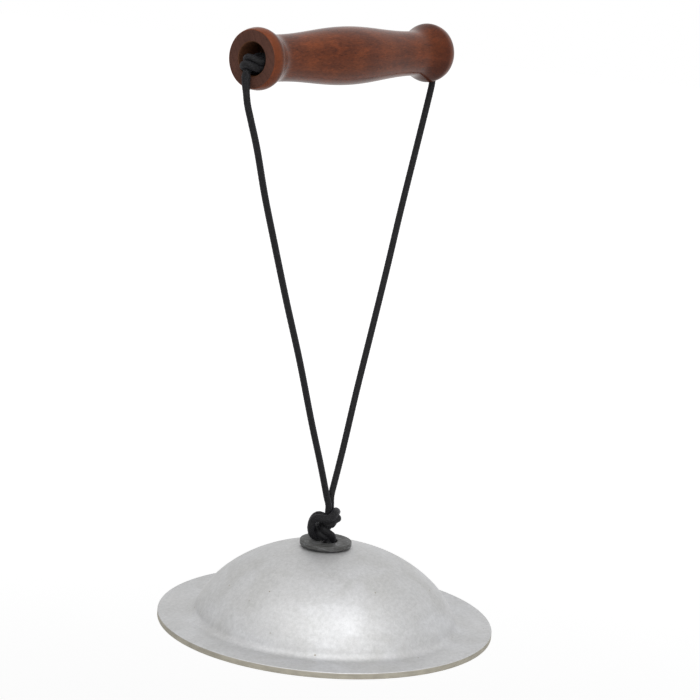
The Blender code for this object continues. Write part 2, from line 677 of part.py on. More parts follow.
# The legs run from the handle's two ends to their junction, and the strand runs through the bore
leg_start = end_place([leg_end[cut - 1] + np.array([0, -GAP / MM, 0])])[0]
left_leg = smooth_route([leg_start, *LEG_ROUTES["left"], JUNCTION + LEG_ENDS["left"]], 400)
tube("left_leg", evenly(left_leg, LEFT_LEG_POINTS), CORD)
right_leg = smooth_route([*LEG_ROUTES["right"], JUNCTION + LEG_ENDS["right"]], 400)
tube("right_leg", evenly(right_leg, RIGHT_LEG_POINTS), CORD)
strand_start = end_place([bore_end[-1]])[0] + np.array([GAP, 0, 0])
lie = [np.array([along * HANDLE_LENGTH / 2, 0, -z * MM]) for along, z in BORE_STRAND_ROUTE]
strand_route = smooth_route([strand_start, *lie], 200)
tube("handle_strand", evenly(strand_route, BORE_STRAND_POINTS), CORD)

print(f"left leg {route_length(left_leg) / MM:.1f} mm, right leg {route_length(right_leg) / MM:.1f} mm")
print(f"bell centre of mass {MASS_HEIGHT / MM:.2f} mm above its rim, rim centre {RIM_CENTRE}")
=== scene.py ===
import math

import bmesh
import bpy
import numpy as np
from mathutils import Matrix, Vector
from numpy.linalg import norm


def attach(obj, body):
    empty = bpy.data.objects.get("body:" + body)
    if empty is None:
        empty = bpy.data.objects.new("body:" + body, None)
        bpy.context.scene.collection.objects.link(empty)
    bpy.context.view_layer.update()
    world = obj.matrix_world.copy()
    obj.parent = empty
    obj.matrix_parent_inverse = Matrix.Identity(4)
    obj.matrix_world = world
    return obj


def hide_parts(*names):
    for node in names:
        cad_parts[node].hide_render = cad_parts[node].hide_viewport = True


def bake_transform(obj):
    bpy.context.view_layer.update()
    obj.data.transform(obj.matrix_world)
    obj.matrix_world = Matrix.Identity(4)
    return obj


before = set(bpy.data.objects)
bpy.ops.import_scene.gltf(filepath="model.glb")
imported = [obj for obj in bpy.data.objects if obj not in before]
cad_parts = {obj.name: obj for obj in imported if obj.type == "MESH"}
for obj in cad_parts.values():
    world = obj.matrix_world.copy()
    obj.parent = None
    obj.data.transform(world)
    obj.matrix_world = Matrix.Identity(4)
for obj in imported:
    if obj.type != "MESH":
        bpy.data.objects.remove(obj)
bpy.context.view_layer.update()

# Everything is in metres, in the frame of the CAD; MM turns millimetres into metres
MM = 0.001
GAP = 0.3 * MM

# The handle's outline, from the same rules as its solid, with finer steps
HANDLE_LENGTH = 152.0 * MM
GRIP_RADIUS = 14.95 * MM
NECK_RADIUS = 11.7 * MM
NECK_INSET = 20.0 * MM
FLANGE_RADIUS = 15.55 * MM
FLANGE_INSET = 4.7 * MM
FLANGE_LATENESS = 1.45
FACE_RADIUS = 14.5 * MM
FACE_ROUND = 0.45 * MM
COUNTERBORE_RADIUS = 8.5 * MM
COUNTERBORE_DEPTH = 17.0 * MM
COUNTERBORE_CHAMFER = 0.4 * MM
COUNTERBORE_CORNER = 1.0 * MM
BORE_RADIUS = 4.0 * MM
BORE_CHAMFER = 0.8 * MM
GRIP_POINTS = 60
FLANGE_POINTS = 30
LIP_POINTS = 14
FACE_ROUND_POINTS = 6
HANDLE_STEPS = 160

# The bell's outline
BELL_RADIUS = 88.9 * MM
BELL_HEIGHT = 43.1 * MM
BELL_WALL = 3.4 * MM
DOME_RADIUS = 69.6 * MM
DOME_ROUNDNESS = 2.15
DOME_FLATNESS = 1.53
BRIM_FILLET = 5.0 * MM
BRIM_EDGE_ROUND = 0.6 * MM
UNDER_EDGE_ROUND = 1.6 * MM
BELL_HOLE_RADIUS = 6.0 * MM
HOLE_CHAMFER = 0.4 * MM
DOME_POINTS = 80
FINE_DOME_POINTS = 600
FILLET_POINTS = 16
FILLET_HALVINGS = 50
ROUND_POINTS = 8
BELL_STEPS = 288
BELL_DROP = 301.3 * MM
MASS_HEIGHT = 15.686 * MM
LEAN_TO_X = math.radians(-1.58)
LEAN_TO_Y = math.radians(-2.5)
SWAY_X = 2.0 * MM
SWAY_Y = -0.5 * MM

# Washers
WASHER_OUTER = 13.7 * MM
WASHER_INNER = 6.25 * MM
WASHER_THICK = 2.5 * MM
WASHER_ROUND = 0.35 * MM
WASHER_SLIP_X = -1.5 * MM
WASHER_SLIP_Y = 2.0 * MM
WASHER_ROUND_POINTS = 6
WASHER_STEPS = 128

# Cord. The legs run through shares of half the handle and of the junction's drop, the strand in
# the bore through shares of half the handle and depths in millimetres
CORD_D = 3.1 * MM
JUNCTION_X = 6.6 * MM
JUNCTION_DROP = 231.0 * MM
JUNCTION_HALF = 2.15 * MM
LEFT_LEG_ROUTE = (
    (-1.0388, 0.0714), (-1.0184, 0.0987), (-0.9776, 0.1312), (-0.8961, 0.1965),
    (-0.7947, 0.2952), (-0.6750, 0.3961), (-0.5079, 0.5333), (-0.3276, 0.6740),
    (-0.1618, 0.8169), (-0.0289, 0.9242),
)
RIGHT_LEG_ROUTE = (
    (0.9447, 0.0229), (0.9895, 0.0266), (1.0145, 0.0307), (1.0263, 0.0385), (1.0283, 0.0519),
    (1.0237, 0.0714), (1.0092, 0.0887), (0.9776, 0.1216), (0.8750, 0.2242), (0.7382, 0.3606),
    (0.6105, 0.4970), (0.4763, 0.6325), (0.3408, 0.7675), (0.2158, 0.9026),
)
BORE_STRAND_ROUTE = (
    (-0.3947, 2.1), (0.0, 2.1), (0.3947, 2.1), (0.6842, 2.1), (0.7895, 2.4), (0.8684, 3.6),
    (0.9408, 5.2),
)
LEG_POINTS = 400
BORE_STRAND_POINTS = 200
ROUTE_FINENESS = 24

# The upper knot's slack route seen from the front, in route units, and its roll in degrees
CORD_PITCH = 3.40 * MM
ROUTE_UNIT = 3.54 * MM
KNOT_ROUTE = (
    (0.20, 6.80, -0.50, 25), (0.35, 5.30, -0.50, 25), (0.50, 4.10, -0.75, 25),
    (0.45, 2.90, -1.05, 15), (0.10, 1.75, -1.10, 0), (-0.60, 0.95, -0.70, -15),
    (-1.55, 0.80, 0.10, -40), (-2.30, 1.45, 0.60, -55), (-2.40, 2.60, 0.80, -55),
    (-1.95, 3.85, 0.90, -55), (-1.00, 3.95, 1.20, -60), (0.05, 3.25, 1.55, -75),
    (0.85, 3.35, 1.30, -105), (1.15, 4.00, 0.30, -120), (1.05, 4.20, -1.00, -125),
    (0.60, 3.20, -2.00, -105), (-0.40, 2.10, -2.40, -85), (-1.25, 1.95, -1.60, -85),
    (-1.40, 1.95, 0.30, -85), (-0.75, 1.50, 1.50, -85), (0.15, 0.90, 1.40, -85),
    (0.45, 0.00, 0.50, -85), (0.45, -0.68, 0.10, -85),
)
KNOT_ACROSS = (0.1, 0.0, 0.995)
KNOT_TURN_ANGLE = math.radians(52.8)
KNOT_POINTS = 110
KNOT_ROUNDS = 400
KNOT_SHORTEN = 0.9999
KNOT_BODY_SHARE = 0.8
KNOT_ROOM = 2.3 * MM
KNOT_TOP = 17.6 * MM
STRAND_END = 1.2 * MM
BEARING_HALVINGS = 30
BEARING_FINENESS = 4
BIGHT_LENGTH = 8.5 * MM
BIGHT_HALF = 4.2 * MM
BIGHT_SHAPE = ((-0.8, 0.45), (-0.85, 0.75), (0.0, 1.0), (0.85, 0.75), (0.8, 0.45))
BIGHT_POINTS = 40

# The joining knot's slack route seen from the handle's left end, in route units, and its ways out
# to the leg and in to the bore, in millimetres
JOINING_ROUTE = (
    (0.924, 1.440, -2.527), (0.978, 0.761, -2.065), (0.761, 0.054, -2.065),
    (0.489, -1.005, -1.957), (-0.408, -1.821, -1.821), (-1.821, -1.603, -1.467),
    (-2.636, -0.190, -1.250), (-1.929, 1.332, -1.005), (-0.516, 1.332, -0.299),
    (0.870, 0.761, 0.054), (2.391, 0.272, -0.652), (2.391, -0.190, -2.527),
    (0.870, -0.190, -3.587), (-0.761, -0.082, -3.125), (-1.359, -0.299, -1.603),
    (-0.652, -1.114, -0.299), (0.163, -2.065, -0.435),
)
JOINING_ACROSS = (0.6, 0.0, -0.8)
JOINING_POINTS = 110
JOINING_BODY_POINTS = 90
JOINING_RUN_POINTS = 12
JOINING_ROUNDS = 900
JOINING_SHORTEN = 0.9994
JOINING_BODY_SHARE = 0.72
JOINING_SETTLE = 0.01
JOINING_DEPTH = 14.5
JOINING_OUT = 2.2
FACE_CLEAR = 1.9
LEG_OUT = ((0.0, -11.5, 3.4), (0.0, -16.0, 3.4), (0.0, -20.0, 3.4))
BORE_IN = ((1.0, -5.5, -8.0), (0.3, -2.3, -15.0), (0.0, -2.1, -21.0))
LEG_CUT = -11.0
NECK_POINTS = 9
NECK_PULL = 0.8

# Drawing tight: points of one cord push each other when they are NEIGHBOUR_REACH pitches apart
# along it, and the cords shorten in the first SHORTEN_SHARE of the rounds
PUSH_ROUNDS = 2
STEP_ROUNDS = 4
BEND_EASE = 0.25
SHORTEN_SHARE = 0.8
NEIGHBOUR_REACH = 1.25

# Braid: strands laid each way round the cord, each over two and under two
BRAID_STRANDS = 8
BRAID_LAY = 11.5 * MM
BRAID_RISE = 0.17 * MM
BRAID_RING = 0.3 * MM
BRAID_SIDES = 40
STRAND_ROUNDNESS = 0.92
STRAND_DIP = 0.62
CORD_CORE = 1.62 * MM
KNOTTED_CORE = 1.74 * MM
END_ROUND = 0.6
END_BLUNTNESS = 0.16
SAMPLE_GAP = 0.05 * MM
LINE_SMOOTHINGS = 12

# In the upper knot its neighbours press the cord's section wide and thin
UPPER_PIECES = ("braid_upper_right", "braid_upper_left")
SQUEEZE_RUN = 5.0 * MM
SQUEEZE_WIDER = 1.16
SQUEEZE_THINNER = 0.94

# Below the joining knot the cord lies flattened on the end face, with a groove along its middle
FLAT_FACE = -HANDLE_LENGTH / 2 - 0.5 * MM
FLAT_FROM = -6.3 * MM
FLAT_TO = -17.0 * MM
FLAT_FADE = 4.5 * MM
FLAT_WIDER = 0.36
FLAT_THINNER = 0.16
GROOVE_DEPTH = 0.42 * MM
GROOVE_WIDTH = 0.55 * MM


def added(name, data):
    """A new object of the scene, with this name and data."""
    obj = bpy.data.objects.new(name, data)
    bpy.context.scene.collection.objects.link(obj)
    return obj


# Camera

CAMERA_PLACE = Vector((-1.1478, -0.8658, 0.0982))
CAMERA_RIGHT = Vector((0.60306, -0.79577, 0.05550))
CAMERA_UP = Vector((0.10395, 0.14737, 0.98360))
CAMERA_LENS = 144.29
CAMERA_SENSOR = 36.0
CLIP_START = 0.05
CLIP_END = 60.0

camera_data = bpy.data.cameras.new("camera")
camera_data.lens = CAMERA_LENS
camera_data.sensor_width = CAMERA_SENSOR
camera_data.dof.use_dof = False
camera_data.clip_start = CLIP_START
camera_data.clip_end = CLIP_END
camera = added("camera", camera_data)
right = CAMERA_RIGHT.normalized()
back = right.cross(CAMERA_UP).normalized()
axes = Matrix((right, back.cross(right), back)).transposed()
camera.matrix_world = Matrix.Translation(CAMERA_PLACE) @ axes.to_4x4()
bpy.context.scene.camera = camera


# The cord's route: the same knots as in the CAD, with the two shown ones nearer the photo

def arc_lengths(points):
    """How far along a line each of its points lies."""
    return np.r_[0, np.cumsum(norm(np.diff(points, axis=0), axis=1))]


def route_length(points):
    return float(arc_lengths(points)[-1])


def evenly(points, count):
    """`count` evenly spaced points on a line."""
    lengths = arc_lengths(points)
    stops = np.linspace(0, lengths[-1], count)
    return np.stack([np.interp(stops, lengths, points[:, k]) for k in range(3)], axis=1)


def smooth_route(route, count):
    """`count` evenly spaced points on one smooth curve through the route."""
    route = np.asarray(route, float)
    ends = np.vstack([2 * route[0] - route[1], route, 2 * route[-1] - route[-2]])
    fine = []
    for k in range(1, len(ends) - 2):
        a, b, c, d = ends[k - 1:k + 3]
        for t in np.linspace(0, 1, ROUTE_FINENESS, endpoint=False):
            bend = (2 * a - 5 * b + 4 * c - d) * t * t + (-a + 3 * b - 3 * c + d) * t ** 3
            fine.append(0.5 * (2 * b + (c - a) * t + bend))
    fine.append(route[-1])
    return evenly(np.array(fine), count)


def unit(way):
    return way / norm(way)


def directions(line):
    """The unit direction of a line at each of its points."""
    slope = np.gradient(line, axis=0)
    return slope / norm(slope, axis=1)[:, None]


def carried(along, side):
    """`side` carried with no twist along a line that has these directions."""
    side = np.asarray(side, float)
    sides = []
    for way in along:
        side = unit(side - way * (side @ way))
        sides.append(side)
    return np.array(sides)


def smoothstep(share):
    return share * share * (3 - 2 * share)


def side_by_side(route, rolls, count, across):
    """Two cords laid side by side along a route, lying along `across` where it starts.

    The pair is rolled about the route by the degrees given for each of its points."""
    middle = smooth_route(route, count)
    along = directions(middle)
    stops = arc_lengths(route)
    turns = np.radians(np.interp(np.linspace(0, stops[-1], count), stops, rolls))
    rolled = [
        side * math.cos(turn) + np.cross(way, side) * math.sin(turn)
        for way, side, turn in zip(along, carried(along, across), turns)
    ]
    offset = np.array(rolled) * (ROUTE_UNIT / MM / 2)
    return middle + offset, middle - offset


def tightened(first, second, rounds, shorten, led, keep_clear):
    """Draws two cords tight: they shorten, stay a pitch apart and round off their bends."""
    pitch = CORD_PITCH / MM
    count = len(first)
    points = np.vstack([first, second])
    step = norm(np.diff(first, axis=0), axis=1).mean()
    index = np.arange(2 * count)
    same = index[:, None] // count == index[None, :] // count
    apart = abs(index[:, None] - index[None, :])
    held = [count - 2, count - 1, 2 * count - 2, 2 * count - 1]
    start = points[held].copy()
    lead = points[led].copy()
    for turn in range(rounds):
        if turn < SHORTEN_SHARE * rounds:
            step *= shorten
        near = (~same) | (apart > math.ceil(NEIGHBOUR_REACH * pitch / step))
        for _ in range(PUSH_ROUNDS):
            lines = points[:, None] - points[None]
            gaps = norm(lines, axis=2) + 1e-9
            close = near & (gaps < pitch)
            push = np.where(close, (pitch - gaps) / 2, 0) / gaps
            share = np.maximum(close.sum(axis=1), 1)[:, None]
            points = points + (lines * push[..., None]).sum(axis=1) / share
        cords = points[:count], points[count:]
        for _ in range(STEP_ROUNDS):
            for cord in cords:
                for odd in (0, 1):
                    k = np.arange(odd, count - 1, 2)
                    line = cord[k + 1] - cord[k]
                    size = norm(line, axis=1)[:, None]
                    move = line / size * (size - step) / 2
                    cord[k] += move
                    cord[k + 1] -= move
        for cord in cords:
            cord[1:-1] += ((cord[:-2] + cord[2:]) / 2 - cord[1:-1]) * BEND_EASE
        points = keep_clear(points, count)
        points[held] = start
        points[led, 0] = lead[:, 0]
        points[led, 2] = lead[:, 2]
    return points[:count], points[count:]


def hermite(start, start_way, stop, stop_way, count):
    """A smooth curve that leaves and arrives along the two ways."""
    t = np.linspace(0, 1, count)[:, None]
    near = (2 * t ** 3 - 3 * t ** 2 + 1) * start + (t ** 3 - 2 * t ** 2 + t) * start_way
    far = (3 * t ** 2 - 2 * t ** 3) * stop + (t ** 3 - t ** 2) * stop_way
    return near + far


def kept_apart(first, second):
    """The lines of two cords, moved apart wherever they come closer than a pitch."""
    middle = (first + second) / 2
    away = (first - second) / 2
    reach = norm(away, axis=1)[:, None]
    away = away * np.maximum(CORD_PITCH / 2 / reach, 1)
    return middle + away, middle - away


def leg_points(route):
    """World places of a leg's route."""
    half = HANDLE_LENGTH / 2
    return [np.array([along * half, 0.0, -down * JUNCTION_DROP]) for along, down in route]


def dome_line():
    """The dome's outer line from the crown down to where it stands upright on the brim."""
    angles = np.linspace(0, math.pi / 2, FINE_DOME_POINTS)
    r = DOME_RADIUS * np.sin(angles) ** (2 / DOME_ROUNDNESS)
    rise = BELL_HEIGHT - BELL_WALL
    z = BELL_WALL + rise * np.cos(angles) ** (2 / DOME_FLATNESS)
    return np.stack([r, z], axis=1)


def inner_dome(line):
    """The dome's inner line, one wall inside the outer one."""
    along = directions(line)
    return line + np.stack([along[:, 1], -along[:, 0]], axis=1) * BELL_WALL


LEAN = Matrix.Rotation(-LEAN_TO_Y, 4, "X") @ Matrix.Rotation(LEAN_TO_X, 4, "Y")
AXIS = LEAN @ Vector((0, 0, 1))
MASS_PLACE = Vector((JUNCTION_X + SWAY_X, SWAY_Y, MASS_HEIGHT * AXIS.z - BELL_DROP))
RIM_CENTRE = MASS_PLACE - AXIS * MASS_HEIGHT
BELL_PLACE = Matrix.Translation(RIM_CENTRE) @ LEAN
SLIP = Vector((WASHER_SLIP_X, WASHER_SLIP_Y, 0))
UPPER_LEVEL = BELL_HEIGHT + GAP
INSIDE = inner_dome(dome_line())
LOWER_LEVEL = float(np.interp(WASHER_OUTER, INSIDE[:, 0], INSIDE[:, 1])) - GAP
UPPER_CENTRE = SLIP + Vector((0, 0, UPPER_LEVEL + WASHER_THICK / 2))
LOWER_CENTRE = Vector((0, 0, LOWER_LEVEL - WASHER_THICK / 2))

SEEN = np.array([
    [math.cos(KNOT_TURN_ANGLE), 0.0, -math.sin(KNOT_TURN_ANGLE)],
    [-math.sin(KNOT_TURN_ANGLE), 0.0, -math.cos(KNOT_TURN_ANGLE)],
    [0.0, 1.0, 0.0],
])
UP = np.array([0.0, 1.0, 0.0])
KNOT_BASE = BELL_PLACE @ Matrix.Translation(SLIP + Vector((0, 0, UPPER_LEVEL + WASHER_THICK)))
KNOT_FLOOR = (CORD_D / 2 + GAP) / MM
KNOT_MIDDLE = (LOWER_LEVEL - UPPER_LEVEL - 2 * WASHER_THICK) / MM / 2
knot_route = np.array(KNOT_ROUTE)[:, :3] * ROUTE_UNIT / MM
knot_rolls = [roll for *_, roll in KNOT_ROUTE]
KNOT_HOLE = knot_route[-1] * (1, 0, 1)
knot_route = np.vstack([knot_route, KNOT_HOLE + UP * KNOT_MIDDLE])
knot_rolls.append(knot_rolls[-1])


def on_washer(points, count):
    """Keeps the cords above the washer, or inside its hole on their way down through it."""
    room = KNOT_ROOM / MM
    split = int(KNOT_BODY_SHARE * count)
    for cord in (points[:count], points[count:]):
        cord[:split, 1] = np.maximum(cord[:split, 1], KNOT_FLOOR)
        tail = cord[split:]
        away = (tail - KNOT_HOLE)[:, [0, 2]]
        reach = norm(away, axis=1)
        deep = (tail[:, 1] < KNOT_FLOOR) & (reach > room)
        drawn_in = away[deep] * (room / reach[deep])[:, None]
        tail[np.ix_(deep, [0, 2])] = KNOT_HOLE[[0, 2]] + drawn_in
    return points


def knot_place(points):
    """World places of knot points seen from the front, in the bell's own frame."""
    return np.array([KNOT_BASE @ Vector(SEEN @ point * MM) for point in points])


def washer_gap(points, washer):
    """Least gap between a cord along the points and a washer given by its middle, low and high."""
    middle, low, high = washer
    reach = norm((points - middle)[:, [0, 2]], axis=1)
    aside = np.maximum(np.maximum(WASHER_INNER / MM - reach, reach - WASHER_OUTER / MM), 0)
    above = np.maximum(np.maximum(points[:, 1] - high, low - points[:, 1]), 0)
    return np.hypot(aside, above).min() - CORD_D / MM / 2


def borne(strands, way, washer):
    """The strands of a knot moved up or down until they bear on a washer."""
    fine = np.vstack([evenly(strand, BEARING_FINENESS * len(strand)) for strand in strands])
    near, far = 0.0, CORD_PITCH / MM
    for _ in range(BEARING_HALVINGS):
        shift = (near + far) / 2
        if washer_gap(fine + UP * way * shift, washer) > GAP / MM:
            near = shift
        else:
            far = shift
    return [strand + UP * way * near for strand in strands]


def led_through(strand, way):
    """A knot's strand with a straight end in the bell's hole, at the middle of the wall."""
    last = strand[-1] * (1, 0, 1) + UP * (KNOT_MIDDLE + way * GAP / MM / 2)
    body = strand[way * (strand[:, 1] - last[1]) > STRAND_END / MM + 1]
    return np.vstack([body, last + UP * way * STRAND_END / MM, last])


def below_top(strand):
    """A strand from where it comes down into the knot's top."""
    return strand[int(np.argmax(strand[:, 1] < KNOT_TOP / MM)):]


slack = side_by_side(knot_route, knot_rolls, KNOT_POINTS, KNOT_ACROSS)
neck_points = [0, 1, KNOT_POINTS, KNOT_POINTS + 1]
drawn = tightened(*slack, KNOT_ROUNDS, KNOT_SHORTEN, neck_points, on_washer)
UPPER_RING = (np.zeros(3), -WASHER_THICK / MM, 0.0)
UPPER_STRANDS = [led_through(below_top(strand), 1) for strand in borne(drawn, -1, UPPER_RING)]

# The lower knot is the upper one turned over about a level line through the bell's hole
pivot = (drawn[0][-1] + drawn[1][-1]) / 2 * (1, 0, 1) + UP * KNOT_MIDDLE
turn_line = unit((drawn[0][-1] - drawn[1][-1]) * (1, 0, 1))
turned_over = []
for strand in drawn:
    away = below_top(strand) - pivot
    turned_over.append(pivot + 2 * (away @ turn_line)[:, None] * turn_line - away)
BELL_MIDDLE = SEEN.T @ -np.array(SLIP) / MM
LOWER_RING = (BELL_MIDDLE, 2 * KNOT_MIDDLE, 2 * KNOT_MIDDLE + WASHER_THICK / MM)
turned_over = [led_through(strand, -1) for strand in borne(turned_over, 1, LOWER_RING)]
one_end, other_end = turned_over[0][0], turned_over[1][0]
aside = unit(other_end - one_end) * BIGHT_HALF / MM
under = -UP * BIGHT_LENGTH / MM
bight = [(one_end + other_end) / 2 + aside * wide + under * deep for wide, deep in BIGHT_SHAPE]
first, second = turned_over[0][::-1], turned_over[1]
window = np.vstack([first[-3], first[-1], bight, second[0], second[2]])
LOWER_KNOT = np.vstack([first[:-3], smooth_route(window, BIGHT_POINTS), second[3:]])

JUNCTION = np.array([JUNCTION_X, 0.0, -JUNCTION_DROP])
LEG_ENDS = {"left": np.array([-JUNCTION_HALF, 0, 0]), "right": np.array([JUNCTION_HALF, 0, 0])}
LEG_ROUTES = {"left": leg_points(LEFT_LEG_ROUTE), "right": leg_points(RIGHT_LEG_ROUTE)}
NECKS = []
for side, strand in zip(("left", "right"), UPPER_STRANDS):
    placed = knot_place(strand[:2])
    out_way = unit(placed[0] - placed[1])
    stop = placed[0] + out_way * GAP
    start = JUNCTION + LEG_ENDS[side] + np.array([0, 0, -GAP])
    way = unit(start - LEG_ROUTES[side][-1])
    reach = norm(stop - start)
    NECKS.append(hermite(start, way * reach * NECK_PULL, stop, -out_way * reach, NECK_POINTS))
NECKS = kept_apart(*NECKS)

CORD_ROOM = (COUNTERBORE_RADIUS - CORD_D / 2 - GAP) / MM


def in_counterbore(points, count):
    """Lets the knot settle in the counterbore's mouth, and keeps its leg clear of the end face."""
    for cord in (0, count):
        body = points[cord:cord + int(JOINING_BODY_SHARE * count)]
        body[:, 1] -= JOINING_SETTLE
        body[:, 2] = np.clip(body[:, 2], -JOINING_DEPTH, JOINING_OUT)
        reach = norm(body[:, :2], axis=1)
        wide = reach > CORD_ROOM
        body[wide, :2] *= (CORD_ROOM / reach[wide])[:, None]
    reach = norm(points[:, :2], axis=1)
    wide = (points[:, 2] < 0) & (reach > CORD_ROOM)
    points[wide, :2] *= (CORD_ROOM / reach[wide])[:, None]
    reach = norm(points[:, :2], axis=1)
    near_face = (abs(points[:, 2]) < FACE_CLEAR) & (reach > CORD_ROOM + GAP)
    points[near_face, 2] = FACE_CLEAR
    return points


def end_place(points):
    """World places of points seen from the left end of the handle."""
    return np.array([(-p[2] * MM - HANDLE_LENGTH / 2, -p[0] * MM, p[1] * MM) for p in points])


joining_route = np.array(JOINING_ROUTE) * ROUTE_UNIT / MM
joining_rolls = [0] * len(joining_route)
pair = side_by_side(joining_route, joining_rolls, JOINING_BODY_POINTS, JOINING_ACROSS)
joined = []
for strand, way_out in zip(pair, (LEG_OUT, BORE_IN)):
    run = smooth_route(np.vstack([strand[-1], way_out]), JOINING_RUN_POINTS)[1:]
    joined.append(evenly(np.vstack([strand, run]), JOINING_POINTS))
leg_end, bore_end = tightened(
    *joined, JOINING_ROUNDS, JOINING_SHORTEN, [], in_counterbore)
cut = len(leg_end) - int(np.argmax(leg_end[::-1, 1] > LEG_CUT))
leg_start = end_place([leg_end[cut - 1] + np.array([0, -GAP / MM, 0])])[0]
left_route = [leg_start, *LEG_ROUTES["left"], JUNCTION + LEG_ENDS["left"]]
right_route = [*LEG_ROUTES["right"], JUNCTION + LEG_ENDS["right"]]
LEFT_LEG = smooth_route(left_route, LEG_POINTS)
RIGHT_LEG = smooth_route(right_route, LEG_POINTS)
strand_start = end_place([bore_end[-1]])[0] + np.array([GAP, 0, 0])
lie = [np.array([along * HANDLE_LENGTH / 2, 0, -z * MM]) for along, z in BORE_STRAND_ROUTE]
BORE_STRAND = smooth_route([strand_start, *lie], BORE_STRAND_POINTS)

# The whole cord from its end in the bore's knot round the loop to its other end, as
# (piece name, CAD node, centreline, how tightly knotted)
ROUTE = (
    ("braid_joining_bore_end", "handle_knot_bore_end", end_place(bore_end), 1.0),
    ("braid_bore_strand", "handle_strand", BORE_STRAND, 0.0),
    ("braid_right_leg", "right_leg", RIGHT_LEG, 0.0),
    ("braid_right_neck", "neck_right_strand", NECKS[1], 0.0),
    ("braid_upper_right", "upper_knot_right_strand", knot_place(UPPER_STRANDS[1]), 1.0),
    ("braid_lower_knot", "lower_knot", knot_place(LOWER_KNOT)[::-1], 1.0),
    ("braid_upper_left", "upper_knot_left_strand", knot_place(UPPER_STRANDS[0])[::-1], 1.0),
    ("braid_left_neck", "neck_left_strand", NECKS[0][::-1], 0.0),
    ("braid_left_leg", "left_leg", LEFT_LEG[::-1], 0.0),
    ("braid_joining_leg_end", "handle_knot_leg_end", end_place(leg_end[:cut])[::-1], 1.0),
)


def whole_cord():
    """One smooth centreline of the whole cord, its arc lengths, how tightly it is knotted at each
    of its samples, and each piece's first sample."""
    points = np.vstack([part[2] for part in ROUTE])
    knotted = np.concatenate([np.full(len(part[2]), part[3]) for part in ROUTE])
    owner = np.concatenate([np.full(len(part[2]), k) for k, part in enumerate(ROUTE)])
    far = np.r_[True, norm(np.diff(points, axis=0), axis=1) > SAMPLE_GAP]
    points, knotted, owner = points[far], knotted[far], owner[far]
    lengths = arc_lengths(points)
    count = int(lengths[-1] / BRAID_RING)
    stops = np.linspace(0, lengths[-1], count)
    line = evenly(points, count)
    for _ in range(LINE_SMOOTHINGS):
        line[1:-1] += ((line[:-2] + line[2:]) / 2 - line[1:-1]) * 0.5
    tight = np.interp(stops, lengths, knotted)
    run = int(SQUEEZE_RUN / BRAID_RING)
    window = np.hanning(run + 2)[1:-1]
    padded = np.pad(tight, run, mode="edge")
    tight = np.convolve(padded, window / window.sum(), mode="same")[run:-run]
    firsts = [int(round(np.interp(lengths[np.argmax(owner == k)], stops, np.arange(count))))
              for k in range(len(ROUTE))]
    return line, stops, tight, firsts + [count - 1]


LINE, ARC, TIGHT, FIRSTS = whole_cord()
LAYS = ARC / BRAID_LAY * BRAID_STRANDS
ALONG = directions(LINE)
SIDE = carried(ALONG, np.cross(ALONG[0], (0.0, 0.0, 1.0)))
OVER = np.cross(ALONG, SIDE)
UPPER_KNOT_MIDDLE = np.concatenate(
    [path for name, _, path, _ in ROUTE if name in UPPER_PIECES]).mean(axis=0)


def braid_height(turns, lays):
    """Height of a two-over two-under braid, from 0 to 1, at turns round the cord and lays along
    it."""
    one = turns + lays
    other = turns - lays
    cell = np.mod(np.floor(one) - np.floor(other), 4)
    first_on_top = cell < 2
    across = np.where(first_on_top, one, other)
    across = 2 * (across - np.floor(across)) - 1
    run = np.where(first_on_top, other - np.floor(other), one - np.floor(one))
    run = run + np.where((cell == 0) | (cell == 3), 1.0, 0.0) - 1
    crown = np.sqrt(np.clip(1 - STRAND_ROUNDNESS * across ** 2, 0, 1))
    return crown * (1 - STRAND_DIP * run ** 2)


def squeezed(middle, along, out, share):
    """The cord's section `out` from its middle, pressed wide by its neighbours in the knot."""
    away = middle - UPPER_KNOT_MIDDLE
    away -= along * (away @ along)
    away /= max(norm(away), 1e-6)
    across = np.cross(along, away)
    return out + share * (
        away * (out @ away)[:, None] * (SQUEEZE_THINNER - 1)
        + across * (out @ across)[:, None] * (SQUEEZE_WIDER - 1))


def flattened(middle, out):
    """The cord's section `out` from its middle, pressed flat where it lies on the left end face."""
    if middle[0] > FLAT_FACE or not FLAT_TO < middle[2] < FLAT_FROM:
        return out
    upper = min(1.0, (FLAT_FROM - middle[2]) / (FLAT_FADE / 2))
    lower = min(1.0, (middle[2] - FLAT_TO) / FLAT_FADE)
    share = smoothstep(upper) * smoothstep(lower)
    groove = np.exp(-(out[:, 1] / GROOVE_WIDTH) ** 2) * (out[:, 0] < 0)
    out = out * (1 - FLAT_THINNER * share, 1 + FLAT_WIDER * share, 1.0)
    out[:, 0] += GROOVE_DEPTH * share * groove
    return out


def object_of(name, form):
    """A new object of the scene, with the faces of a bmesh."""
    mesh = bpy.data.meshes.new(name)
    form.to_mesh(mesh)
    form.free()
    return added(name, mesh)


